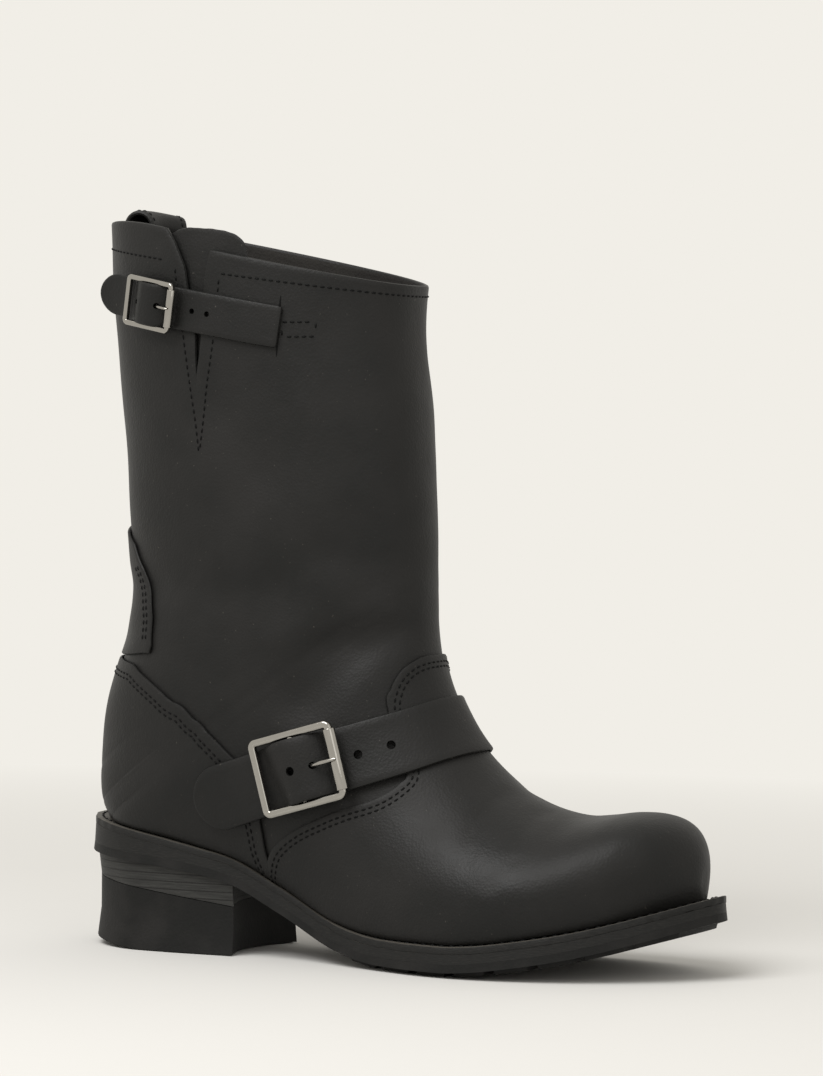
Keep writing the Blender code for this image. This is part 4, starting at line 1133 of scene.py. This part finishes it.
def make_gusset():
    """Soft flap inside the notch: each column climbs from inside the shaft to the flap's own cut edge."""
    edge = np.array(GUSSET_EDGE)
    rim = upper_point(np.linspace(0.1, 0.4, 400), np.full(400, 0.99))[:, 1]
    corner = np.interp(edge[-1, 0] * sole_length - heel_back, rim, np.linspace(0.1, 0.4, 400))
    across = 0.105 + (corner - 0.105) * np.sin(np.linspace(0, math.pi / 2, 80))
    share = np.linspace(0, 1, len(edge) - 2)
    smooth = curve(share, edge[1:-1], np.linspace(0, 1, 200))

    def is_high(along):
        point = upper_point(across, along)
        ends = (point[:, 1] + heel_back) / sole_length
        return point[:, 2] > np.interp(ends, smooth[:, 0], smooth[:, 1]) * rim_height

    top = halve(np.full(len(across), 0.86), np.full(len(across), 1.06), is_high)
    # the cut edge is a little rough
    rough = 0.0003 * np.sin(across * 260) * np.sin(across * 97 + 1) + 0.0002 * np.sin(across * 611)
    along = 0.80 + (top + rough - 0.80) * np.linspace(0, 1, 60)[:, None]
    grid = upper_point(across[None], along)
    inner = -wall - clearance - gusset_thick
    return leather_sheet("gusset_flap", [(grid, None)], inner, -wall - clearance, "gusset")


# Straps, buckles and loop


def place_on_path(table, at):
    """Middle point of a strap, its running direction, its width direction and the surface normal."""
    near = np.array([at - 0.01, at, at + 0.01])
    middle = table_curve(table, near)
    points = upper_point(near, middle)
    _, _, _, normal = upper_frame(near, middle)
    forward = unit(points[2] - points[0])
    out = unit(normal[1] - (normal[1] * forward).sum() * forward)
    return points[1], forward, np.cross(out, forward), out


def reach_of(table, at, rows=60):
    """Distance along a strap's middle line from its tip."""
    steps = np.linspace(table[0][0], at, rows)
    path = upper_point(steps, table_curve(table, steps))
    return np.linalg.norm(np.diff(path, axis=0), axis=1).sum()


class Buckle:
    """Sizes and heights of one roller buckle over the upper."""

    def __init__(self, name, table, at, length, width, bar, strap_width, under, tail_radius):
        self.name = name
        self.length = length
        self.width = width
        self.bar = bar
        self.strap_width = strap_width
        self.tail_radius = tail_radius
        self.base = under + clearance
        self.chape_top = self.base + chape_thick
        self.tail_low = self.chape_top + clearance
        self.height = self.tail_low + strap_thick + bar_gap + bar
        self.hump = self.height + bar * 0.75 + clearance
        self.middle, self.forward, self.side, self.out = place_on_path(table, at)
        self.reach = reach_of(table, at)
        self.table = table

    def point(self, u, v, w):
        """World point from the buckle's own frame: along the strap, across it and out from the boot."""
        u, v, w = np.broadcast_arrays(u, v, w)
        return self.middle + u[..., None] * self.forward + v[..., None] * self.side + w[..., None] * self.out

    def strap_lift(self, reach):
        """Height of the strap's under face: over the chape behind and the middle bar, then down.

        Past the frame the tip runs straight on while the boot curves away, so it rises as a
        circle's chord does.
        """
        u = reach - self.reach
        half = self.length / 2
        level = self.base + (self.tail_low - self.base) * (1 - blend(0.0, half, u))
        rise = (1 - blend(self.bar * 1.1, half * 0.78, np.abs(u))) * (self.hump - level)
        tail = np.maximum(-u - half, 0.0)
        return level + rise + tail**2 / (2 * self.tail_radius)


def replace_mesh(piece, mesh):
    """Gives a piece a finished mesh in place of its own and takes its modifiers off."""
    old = piece.data
    piece.modifiers.clear()
    piece.data = mesh
    bpy.data.meshes.remove(old)


def punch(piece, cutters, operation="DIFFERENCE"):
    """Cuts the cutters out of a piece, or joins them to it, in its mesh."""
    for cutter in cutters:
        change = piece.modifiers.new("change", "BOOLEAN")
        change.operation = operation
        change.object = cutter
    graph = bpy.context.evaluated_depsgraph_get()
    mesh = bpy.data.meshes.new_from_object(piece.evaluated_get(graph))
    replace_mesh(piece, mesh)
    for cutter in cutters:
        bpy.data.objects.remove(cutter)
    mesh.shade_smooth()
    mesh.set_sharp_from_angle(angle=math.radians(40))


def plain_solid(name, points, faces):
    """Closed helper solid for punch."""
    mesh = bpy.data.meshes.new(name)
    mesh.from_pydata(points.tolist(), [], faces)
    solid = bpy.data.objects.new(name, mesh)
    bpy.context.scene.collection.objects.link(solid)
    return solid


def tube_faces(quads, rings, sides):
    """Faces of an open tube with both its ends closed."""
    return quads.tolist() + tube_caps(rings, sides).tolist()


def lifted_grid(at, middle, side, offsets, lift):
    """Points at offsets beside a line on the upper, lifted off its leather, and their normals."""
    columns, outs = [], []
    for offset in offsets:
        a, b = walk(at, middle, side, offset)
        point, _, _, out = upper_frame(a, b)
        columns.append(point + out * (lift + leather_relief(point))[:, None])
        outs.append(out)
    return np.stack(columns, axis=1), np.stack(outs, axis=1)


def strap_frames(table, rows, width, shares, lift):
    """Points over a strap's length and width, their normals, and how far round the upper each row is."""
    first, last = table[0][0], table[-1][0]
    at = first + (last - first) * np.linspace(0, 1, rows)
    # rows closer together at the round tip
    at = np.concatenate([at[0] + (at[2] - at[0]) * np.linspace(0, 1, 12)[:-1] ** 1.7, at[2:]])
    middle = table_curve(table, at)
    path = upper_point(at, middle)
    tangent = unit(np.gradient(path, axis=0))
    _, _, _, normal = upper_frame(at, middle)
    side = np.cross(normal, tangent)
    reach = path_reach(path)
    into = np.clip(1 - reach / (width / 2), 0, 1)
    half = width / 2 * np.sqrt(np.maximum(1 - into**2, 0.01))
    grid, outs = lifted_grid(at, middle, side, [share * half for share in shares], lift(reach))
    return grid, outs, at


def round_cutter(centre, out, radius, depth=0.006):
    """Round bar square to the leather, for a hole."""
    across = unit(np.cross(out, [0.0, 0.0, 1.0]))
    up = np.cross(out, across)
    points = centre + np.array([[-depth], [depth]]) * out
    rings, quads = tube(points, np.full(2, radius), 20, False, np.tile(across, (2, 1)), np.tile(up, (2, 1)))
    return plain_solid("hole_cutter", rings, tube_faces(quads, 2, 20))


prong_rings = 24
prong_sides = 16


def prong_path(buckle):
    """From beside the middle bar out through the strap and on to the roller."""
    half = buckle.length / 2 - buckle.bar
    top = buckle.height + buckle.bar * 1.55 + clearance + buckle.bar * 0.55
    start = buckle.bar * 0.75 + clearance
    u = np.array([start, half * 0.30, half * 0.62, half * 0.86, half + buckle.bar * 1.1])
    w = np.array([buckle.height, buckle.height + 0.1 * buckle.bar, top - 0.5 * buckle.bar, top, top])
    wanted = np.linspace(0, 1, prong_rings)
    known = np.linspace(0, 1, len(u))
    path = buckle.point(curve(known, u, wanted), np.zeros(prong_rings), curve(known, w, wanted))
    along = unit(np.gradient(path, axis=0))
    across = np.tile(buckle.side, (prong_rings, 1))
    return path, across, np.cross(along, across)


def make_strap(name, node, buckle, rows, holes, hole_radius):
    """Strap with a round tip, punched for the prong and for holes at the given places round the upper."""
    shares = np.array([1.0, 0.8, 0.5, 0.25, 0.0, -0.25, -0.5, -0.8, -1.0])
    grid, outs, at = strap_frames(buckle.table, rows, buckle.strap_width, shares, buckle.strap_lift)
    strap = thick_sheet(name, [(grid, None)], 0.0, strap_thick, [oiled_leather], node)
    path, across, up = prong_path(buckle)
    radii = np.full(prong_rings, buckle.bar * 0.55 + 2 * clearance)
    points, quads = tube(path, radii, prong_sides, False, across, up)
    cutters = [plain_solid("prong_cutter", points, tube_faces(quads, prong_rings, prong_sides))]
    centre = len(shares) // 2
    for hole in holes:
        row = int(np.abs(at - hole).argmin())
        cutters.append(round_cutter(grid[row, centre], outs[row, centre], hole_radius))
    punch(strap, cutters)
    return strap


def make_chape(name, node, buckle, behind):
    """Short strap that holds the buckle: from behind it on the boot up to its middle bar."""
    u = np.linspace(-behind, -buckle.bar * 0.2, 40)
    v = np.linspace(0.5, -0.5, 7) * buckle.strap_width * 0.92
    high = buckle.height - buckle.bar * 0.75 - clearance - chape_thick
    steps = np.linspace(buckle.table[0][0], buckle.table[-1][0], 600)
    middle = table_curve(buckle.table, steps)
    path = upper_point(steps, middle)
    reach = path_reach(path)
    at = np.interp(buckle.reach + u, reach, steps)
    line = np.interp(buckle.reach + u, reach, middle)
    _, _, _, normal = upper_frame(at, line)
    side = np.cross(normal, unit(np.gradient(upper_point(at, line), axis=0)))
    lift = buckle.base + (high - buckle.base) * blend(-buckle.length * 0.42, -buckle.bar, u)
    grid, _ = lifted_grid(at, line, side, [np.full(len(u), offset) for offset in v], lift)
    return thick_sheet(name, [(grid, None)], 0.0, chape_thick, [oiled_leather], node)


def make_buckle_frame(buckle):
    """Square of round wire with rounded corners, joined to its middle bar."""
    half_u = buckle.length / 2 - buckle.bar
    half_v = buckle.width / 2 - buckle.bar
    corner = buckle.bar * 1.15
    turns = np.linspace(0, math.pi / 2, 12)
    path = []
    for i, (su, sv) in enumerate(((1, 1), (-1, 1), (-1, -1), (1, -1))):
        turn = turns + i * math.pi / 2
        u = su * (half_u - corner) + corner * np.cos(turn)
        path.append(np.stack([u, sv * (half_v - corner) + corner * np.sin(turn)], axis=1))
    path = np.vstack(path)
    along = unit(np.roll(path, -1, axis=0) - np.roll(path, 1, axis=0))
    outward = np.stack([along[:, 1], -along[:, 0]], axis=1)
    centre = buckle.point(path[:, 0], path[:, 1], buckle.height)
    across = outward[:, :1] * buckle.forward + outward[:, 1:] * buckle.side
    up = np.broadcast_to(buckle.out, across.shape)
    points, quads = tube(centre, np.full(len(path), buckle.bar * 0.96), 24, True, across, up, square=3.2)
    name = buckle.name + "_wire"
    frame_piece = add_piece(name, points, [quads[:, ::-1]], [nickel], buckle.name + "_frame")
    ends = buckle.point(np.zeros(2), np.array([-half_v, half_v]), buckle.height)
    radii = np.full(2, buckle.bar * 0.75)
    across, up = (np.tile(direction, (2, 1)) for direction in (buckle.forward, buckle.out))
    bar, bar_quads = tube(ends, radii, 20, False, across, up)
    make_outward(frame_piece)
    punch(frame_piece, [make_outward(plain_solid("bar", bar, tube_faces(bar_quads, 2, 20)))], "UNION")
    return half_u, half_v - corner - clearance


def make_outward(piece):
    """Faces of a closed mesh turned to point outwards."""
    work = bmesh.new()
    work.from_mesh(piece.data)
    bmesh.ops.recalc_face_normals(work, faces=work.faces)
    work.to_mesh(piece.data)
    work.free()
    return piece


def make_roller(buckle, at_u, half_length):
    """Tube that turns on the frame's far bar, its ends rounded."""
    sides = 36
    turn = circle(sides)
    outer = buckle.bar * 1.55
    inner = buckle.bar + clearance
    edge = (outer - inner) * 0.45
    profile = (
        (inner, -half_length),
        (outer - edge, -half_length),
        (outer - edge * 0.3, -half_length + edge * 0.3),
        (outer, -half_length + edge),
        (outer, half_length - edge),
        (outer - edge * 0.3, half_length - edge * 0.3),
        (outer - edge, half_length),
        (inner, half_length),
    )
    cos, sin = np.cos(turn), np.sin(turn)
    rings = [buckle.point(at_u + radius * cos, v, buckle.height + radius * sin) for radius, v in profile]
    quads = ring_quads(len(profile), sides, True)
    name, node = buckle.name + "_tube", buckle.name + "_roller"
    return make_outward(add_piece(name, np.vstack(rings), [quads], [nickel], node))


def make_prong(buckle):
    """Round bar that tapers to its tip."""
    path, across, up = prong_path(buckle)
    share = np.linspace(0, 1, prong_rings)
    radii = buckle.bar * np.interp(share, [0, 0.6, 0.93, 1.0], [0.55, 0.55, 0.42, 0.22])
    points, quads = tube(path, radii, prong_sides, False, across, up)
    caps = tube_caps(prong_rings, prong_sides)
    name, node = buckle.name + "_tongue", buckle.name + "_prong"
    return make_outward(add_piece(name, points, [quads, caps], [nickel], node))


def loop_grid(columns=17, rows=30):
    """Band over the rim: straight up inside the wall, a half circle, and straight down again."""
    rim = upper_point(np.linspace(0, 1, 400), np.ones(400))
    half = loop_width / 2 / np.linalg.norm(np.diff(rim, axis=0), axis=1).sum()
    across = np.linspace(LOOP_ACROSS - half, LOOP_ACROSS + half, columns)
    rim, _, by_along, out = upper_frame(np.mod(across, 1.0), np.ones(columns))
    near = wall + 3 * clearance + loop_thick
    turn = np.linspace(0, math.pi, rows)
    into = near + loop_span / 2 - loop_span / 2 * np.cos(turn)
    up = loop_rise - loop_span / 2 + loop_span / 2 * np.sin(turn)
    down = np.linspace(-loop_drop, up[0], 24)[:-1]
    into = np.concatenate([np.full(23, near), into, np.linspace(into[-1], near + loop_thick * 1.3, 24)[1:]])
    up = np.concatenate([down, up, down[::-1]])
    grid = rim[None] - out[None] * into[:, None, None] + unit(by_along)[None] * up[:, None, None]
    return grid


def make_pull_loop():
    return leather_sheet("pull_loop_band", [(loop_grid(), None)], 0.0, loop_thick, "pull_loop", None)


# Sole


def sole_grid(inset, toe_inset, stations, columns, height):
    """Grid over the sole's outline: rows from back to toe, columns from the outer to the inner side."""
    loop = outline_loop(inset, toe_inset, 1200)
    s = loop[:, 1].min() + (loop[:, 1].max() - loop[:, 1].min()) * stations
    outer, inner = half_widths(loop, s)
    share = np.linspace(0, 1, columns)
    x = outer[:, None] + (inner - outer)[:, None] * share
    y = np.broadcast_to((s - heel_back)[:, None], x.shape)
    z = np.broadcast_to(height(s)[:, None], x.shape)
    return np.stack([x, y, z], axis=-1)


def round_stations(count):
    return (1 - np.cos(np.linspace(0, math.pi, count))) / 2


def rough_edge(count):
    """Small unevenness of an edge trimmed by hand, round the boot."""
    turn = circle(count)
    return 0.00025 * np.sin(29 * turn) * np.sin(11 * turn + 1) + 0.00018 * np.sin(83 * turn + 2)


def make_welt():
    """Strip round the sole: a flat section with rounded outer corners, carried along the outline."""
    count = 700
    round_by = welt_thick * 0.22
    inner = welt_margin + wall + insole_seat
    toe_inner = toe_margin + wall + insole_seat
    profile = (
        # inset, inset at the toe, drop below the welt's top
        (inner, toe_inner, 0.0),
        (edge_slope + 0.0045, edge_slope + 0.0045, 0.0),
        (edge_slope + round_by, edge_slope + round_by, 0.0),
        (edge_slope + round_by * 0.3, edge_slope + round_by * 0.3, round_by * 0.3),
        (edge_slope, edge_slope, round_by),
        (edge_slope, edge_slope, welt_thick * 0.96),
        (edge_slope + welt_thick * 0.04, edge_slope + welt_thick * 0.04, welt_thick),
        (inner, toe_inner, welt_thick),
    )
    rings = []
    for inset, toe_inset, drop in profile:
        loop = outline_loop(inset, toe_inset, count)
        if inset < welt_margin:
            centre = loop.mean(axis=0)
            loop = loop + unit(loop - centre) * rough_edge(count)[:, None]
        rings.append(np.stack([loop[:, 0], loop[:, 1] - heel_back, welt_top(loop[:, 1]) - drop], axis=1))
    quads = ring_quads(len(profile), count, True)
    strip = add_piece("welt_strip", np.vstack(rings), [quads], [edge_leather], "welt")
    return make_outward(strip)


def make_midsole():
    stations = round_stations(240)
    # the layers are glued: the CAD's play between them would let light through at the narrow toe
    top = sole_grid(edge_slope, edge_slope, stations, 4, lambda s: midsole_top(s) + layer_gap * 0.9)
    low = edge_slope / 2
    bottom = sole_grid(low, low, stations, 4, lambda s: outsole_top(s) + layer_gap * 0.1)
    return stacked_solid("midsole_layer", [top, bottom], [edge_leather], "midsole", 0.0002)


def make_outsole():
    """Rubber sole with low cross lugs under the forefoot, set in from its edge."""
    pitch = lug_length + lug_groove
    wall_run = tread_depth / 3
    back = heel_length * 1.55
    front = sole_length - tread_margin * 2.4
    lugs = int((front - back) / pitch)
    starts = front - pitch * np.arange(lugs, 0, -1)
    corners = [starts, starts + wall_run, starts + lug_length - wall_run, starts + lug_length]
    rows = np.stack(corners, axis=1).ravel()
    heel_rows = back * (1 - np.cos(np.linspace(0, math.pi / 2, 70)))
    tip_rows = sole_length - (sole_length - rows[-1]) * np.cos(np.linspace(0, math.pi / 2, 16))[1:]
    s = np.concatenate([heel_rows, rows, tip_rows])
    deep = np.concatenate([heel_rows * 0, np.tile([0.0, 1.0, 1.0, 0.0], lugs), tip_rows * 0])
    first, second = s[:-1], s[1:]
    quarters = [(first + second) / 2, first * 0.75 + second * 0.25, first * 0.25 + second * 0.75]
    between = np.sort(np.concatenate([s, *quarters]))
    deep = np.interp(between, s, deep)
    stations = between / sole_length
    shares = np.array([0.0, 0.0, 0.0, 1.0, 1.0, 1.0])
    top = sole_grid(edge_slope / 2, edge_slope / 2, stations, 6, outsole_top)
    bottom = sole_grid(0.0, 0.0, stations, 6, outsole_base)
    for grid in (top, bottom):
        outer = grid[:, :1, 0]
        inner = grid[:, -1:, 0]
        margin = np.minimum(tread_margin, (outer - inner) * 0.3)
        slope = np.minimum(tread_depth / 3, (outer - inner) * 0.1)
        edge = margin + slope
        into = np.concatenate([margin * 0, margin, edge, -edge, -margin, margin * 0], axis=1)
        grid[..., 0] = outer + (inner - outer) * shares - into
    bottom[:, 2:4, 2] -= (tread_depth * deep)[:, None]
    return stacked_solid("outsole_layer", [top, bottom], [rubber], "outsole", 0.0002)


def heel_grid(inset, height, rows=60, columns=25):
    """Grid over the heel: its rows bend into the hollow of the breast."""
    loop = outline_loop(inset, inset, 1200)
    back = loop[:, 1].min()
    share = 1 - np.cos(np.linspace(0, math.pi / 2, rows))
    s = back + (heel_length - back) * share
    outer, inner = half_widths(loop, s)
    across = np.linspace(0, 1, columns)
    x = outer[:, None] + (inner - outer)[:, None] * across
    bend = breast_hollow * (share**2)[:, None] * (1 - (2 * across - 1) ** 2)
    depth = s[:, None] - bend
    return np.stack([x, depth - heel_back, height(depth)], axis=-1)


def make_heel_stack():
    top = heel_grid(stack_inset, lambda s: outsole_base(s) - clearance)
    bottom = heel_grid(heel_inset, lambda s: lift_top(s) + clearance)
    name = "heel_stack_layers"
    return stacked_solid(name, [top, bottom], [stack_leather], "heel_stack", 0.0003)


def lift_level(share, inset):
    return heel_grid(inset, lambda s: lift_bottom(s) + share * (lift_top(s) - lift_bottom(s)))


def make_heel_lift():
    insets = ((1.0, heel_inset), (0.45, heel_inset), (0.0, heel_inset - heel_flare))
    levels = [lift_level(share, inset) for share, inset in insets]
    return stacked_solid("heel_lift_block", levels, [rubber], "heel_lift", 0.0005)


# Stitches


# Rows of stitches down both sides of the notch: across, then along
NOTCH_STITCHES_BACK = np.array([[0.188, 0.193, 0.1955, 0.198], [0.980, 0.921, 0.865, 0.807]])
NOTCH_STITCHES_FRONT = np.array([[0.227, 0.221, 0.209, 0.199], [0.975, 0.916, 0.860, 0.810]])


def inset_line(across, along, inward, count=500):
    """Line on the upper beside a given edge, moved over the leather by a distance to its left."""
    a, b = smooth_line(across, along, count)
    point, _, _, out = upper_frame(a, b)
    tangent = unit(np.gradient(point, axis=0))
    return walk(a, b, np.cross(out, tangent), np.full(count, inward))


def stitch_beside(name, across, along, inward, lift, length=0.0023, pitch=0.0031, radius=0.00042):
    """Row of stitches beside an edge."""
    a, b = inset_line(across, along, inward)
    point, _, _, out = upper_frame(a, b)
    height = (lift + leather_relief(point))[:, None]
    return stitch_row(name, point + out * height, out, thread, length, pitch, radius)


def stitch_mirrored(name, across, along, inwards):
    """Rows of stitches beside an overlay's edge on the outer side, and their mirror images."""
    for row, inward in enumerate(inwards):
        stitch_beside(f"{name}_outer_{row}", across, along, inward, overlay_top)
        stitch_beside(f"{name}_inner_{row}", 1 - across, along, -inward, overlay_top)


def both_sides(table):
    """A half table of parameters, and its mirror image, as one line from the outer to the inner side."""
    across, along = np.array(table).T
    return np.concatenate([across, 1 - across[-2::-1]]), np.concatenate([along, along[-2::-1]])


def make_stitches():
    vamp_across, vamp_along = both_sides(VAMP_TOP)
    for row, inward in enumerate((-0.0022, -0.0043)):
        stitch_beside(f"vamp_stitches_{row}", vamp_across, vamp_along, inward, overlay_top)
    edge_along, edge_across = counter_line()
    stitch_mirrored("counter_stitches", edge_across[3:-3:3], edge_along[3:-3:3], (0.0042, 0.0062))
    edge_along = np.linspace(0.645, 0.742, 40)
    stitch_mirrored("backstay_stitches", backstay_side(edge_along), edge_along, (0.0024, 0.0046))
    stitch_beside("collar_stitches_front", np.linspace(0.228, 0.995, 24), np.full(24, 0.980), 0.0, 0.0)
    stitch_beside("collar_stitches_back", np.linspace(0.004, 0.176, 12), np.full(12, 0.985), 0.0, 0.0)
    stitch_beside("notch_stitches_back", *NOTCH_STITCHES_BACK, 0.0, 0.0)
    stitch_beside("notch_stitches_front", *NOTCH_STITCHES_FRONT, 0.0, 0.0)
    make_slit_shade()
    box_across = np.array([0.292, 0.333, 0.331, 0.292])
    box_along = np.array([0.929, 0.928, 0.908, 0.911])
    for side_number in range(4):
        pair = [side_number, (side_number + 1) % 4]
        name = f"anchor_stitches_{side_number}"
        stitch_beside(name, box_across[pair], box_along[pair], 0.0, 0.0)
    make_welt_stitches()
    make_loop_stitches()


def make_slit_shade():
    """The cut that the collar strap comes out of, as painted shade: a thin black tube along its lips, in the
    thread's material, stands for the dark inside of the cut.
    """
    a, b = smooth_line(np.array([0.2925, 0.2900, 0.2870, 0.2835]), np.array([0.962, 0.940, 0.915, 0.888]), 60)
    point, _, _, out = upper_frame(a, b)
    side = np.cross(unit(np.gradient(point, axis=0)), out)
    point = point + out * leather_relief(point)[:, None]
    radii = 0.00055 * np.sqrt(np.maximum(np.sin(np.linspace(0.05, math.pi - 0.05, 60)), 0.0))
    points, quads = tube(point, radii, 10, False, side, out)
    caps = tube_caps(60, 10)
    return make_outward(add_piece("strap_slit_shade", points, [quads, caps], [thread]))


def make_welt_stitches():
    """Long stitches in the welt, between its edge and the upper."""
    loop = outline_loop(0.0038, 0.0046, 1200)
    path = np.stack([loop[:, 0], loop[:, 1] - heel_back, welt_top(loop[:, 1])], axis=1)
    out = np.tile([0.0, 0.0, 1.0], (len(path), 1))
    return stitch_row("welt_stitches", path, out, thread, length=0.0033, pitch=0.0044, radius=0.0006)


def make_loop_stitches():
    """A row near each edge of the pull loop, down to the lining."""
    grid = loop_grid()
    for column, side in ((1, "front"), (15, "back")):
        path = grid[:, column]
        across = unit(grid[:, column + 1] - grid[:, column - 1])
        out = unit(np.cross(np.gradient(path, axis=0), across))
        middle = grid.mean(axis=(0, 1))
        facing = np.sign(((path - middle) * out).sum(axis=1).sum())
        stitch_row(f"loop_stitches_{side}", path + out * facing * loop_thick, out * facing, thread)


# Studio

backdrop = "#f1eee7"
# share of light the floor gives back, set so that its lit part meets the backdrop's tone
paper_shade = 0.565
floor_z = -0.0004
# width of the frame and distance of the eye from it, in pixels of the frame
photo_width = 823
focal_pixels = 4534.1


def make_floor():
    """Pale paper floor: a wide disc that takes soft shadows near the boot and glows evenly far off."""
    material, tree, shader, place = start_material("studio_paper", 0.9)
    shader.inputs["Base Color"].default_value = (paper_shade, paper_shade * 0.985, paper_shade * 0.955, 1.0)
    shader.inputs["Specular IOR Level"].default_value = 0.0
    away = add_node(tree, "ShaderNodeVectorMath", {0: place}, operation="LENGTH").outputs["Value"]
    far = spread(tree, away, 0.32, 0.95)
    glow = add_node(tree, "ShaderNodeEmission", {"Color": colour(backdrop), "Strength": 1.0})
    mixed = add_node(
        tree, "ShaderNodeMixShader", {0: far, 1: shader.outputs["BSDF"], 2: glow.outputs["Emission"]}
    )
    tree.links.new(mixed.outputs["Shader"], tree.nodes["Material Output"].inputs["Surface"])
    sides = 96
    turn = circle(sides)
    radii = np.array([0.01, 0.3, 0.6, 1.0, 2.0, 5.0, 20.0, 80.0, 300.0])[:, None]
    level = np.full((len(radii), sides), floor_z)
    rings = np.stack([radii * np.cos(turn), radii * np.sin(turn), level], axis=-1)
    mesh = bpy.data.meshes.new("studio_floor")
    faces = ring_quads(len(radii), sides, False)[:, ::-1].tolist() + [list(range(sides))]
    mesh.from_pydata(rings.reshape(-1, 3).tolist(), [], faces)
    mesh.materials.append(material)
    floor = bpy.data.objects.new("studio_floor", mesh)
    bpy.context.scene.collection.objects.link(floor)


def add_light(name, place, target, width, height, watts):
    """Soft box that faces its target."""
    lamp = bpy.data.lights.new(name, "AREA")
    lamp.shape = "RECTANGLE"
    lamp.size = width
    lamp.size_y = height
    lamp.energy = watts
    light = bpy.data.objects.new(name, lamp)
    light.location = place
    direction = Vector(target) - Vector(place)
    light.rotation_euler = direction.to_track_quat("-Z", "Y").to_euler()
    bpy.context.scene.collection.objects.link(light)


def make_world():
    world = bpy.data.worlds.new("studio_air")
    world.use_nodes = True
    back = world.node_tree.nodes["Background"]
    back.inputs["Color"].default_value = colour(backdrop)
    back.inputs["Strength"].default_value = 1.0
    bpy.context.scene.world = world


def make_camera():
    """Eye on the outer side, a little in front, two metres off: a long lens with no shift."""
    data = bpy.data.cameras.new("photo_camera")
    data.sensor_fit = "HORIZONTAL"
    data.sensor_width = 36.0
    data.lens = data.sensor_width * focal_pixels / photo_width
    data.clip_end = 1000.0
    camera = bpy.data.objects.new("photo_camera", data)
    right = (-0.45386549, 0.89101773, 0.00967038)
    up = (-0.02185831, -0.02198213, 0.99951938)
    view = (-0.89080207, -0.45343598, -0.02945307)
    eye = (1.6776, 0.9620, 0.2305)
    rows = [[right[k], up[k], -view[k], eye[k]] for k in range(3)]
    camera.matrix_world = Matrix(rows + [[0, 0, 0, 1]])
    bpy.context.scene.collection.objects.link(camera)
    bpy.context.scene.camera = camera


def main():
    make_upper()
    make_vamp()
    make_heel_counter()
    make_backstay()
    make_gusset()
    instep = Buckle(
        "instep_buckle",
        INSTEP_STRAP,
        instep_buckle_at,
        instep_buckle_length,
        instep_buckle_width,
        instep_bar,
        instep_strap_width,
        clearance + overlay_thick,
        instep_tail_radius,
    )
    collar = Buckle(
        "collar_buckle",
        COLLAR_STRAP,
        collar_buckle_at,
        collar_buckle_length,
        collar_buckle_width,
        collar_bar,
        collar_strap_width,
        0.0,
        collar_tail_radius,
    )
    make_strap("instep_strap_leather", "instep_strap", instep, 150, (0.237, 0.308, 0.348), 0.0019)
    make_strap("collar_strap_leather", "collar_strap", collar, 90, (0.154, 0.206, 0.219), 0.0012)
    make_chape("instep_chape_leather", "instep_chape", instep, instep_chape_length)
    make_chape("collar_chape_leather", "collar_chape", collar, collar_chape_length)
    for buckle in (instep, collar):
        at_u, half_length = make_buckle_frame(buckle)
        make_roller(buckle, at_u, half_length)
        make_prong(buckle)
    make_pull_loop()
    make_welt()
    make_midsole()
    make_outsole()
    make_heel_stack()
    make_heel_lift()
    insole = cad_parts["insole"]
    insole.data.materials.clear()
    insole.data.materials.append(lining_leather)
    make_stitches()
    make_floor()
    add_light("key_softbox", (0.95, -0.15, 1.45), (0, 0.08, 0.1), 1.1, 1.1, 26)
    add_light("fill_softbox", (1.2, 1.6, 0.9), (0, 0.1, 0.1), 0.9, 1.4, 3)
    make_world()
    make_camera()
    bpy.context.scene.view_settings.view_transform = "Standard"


main()
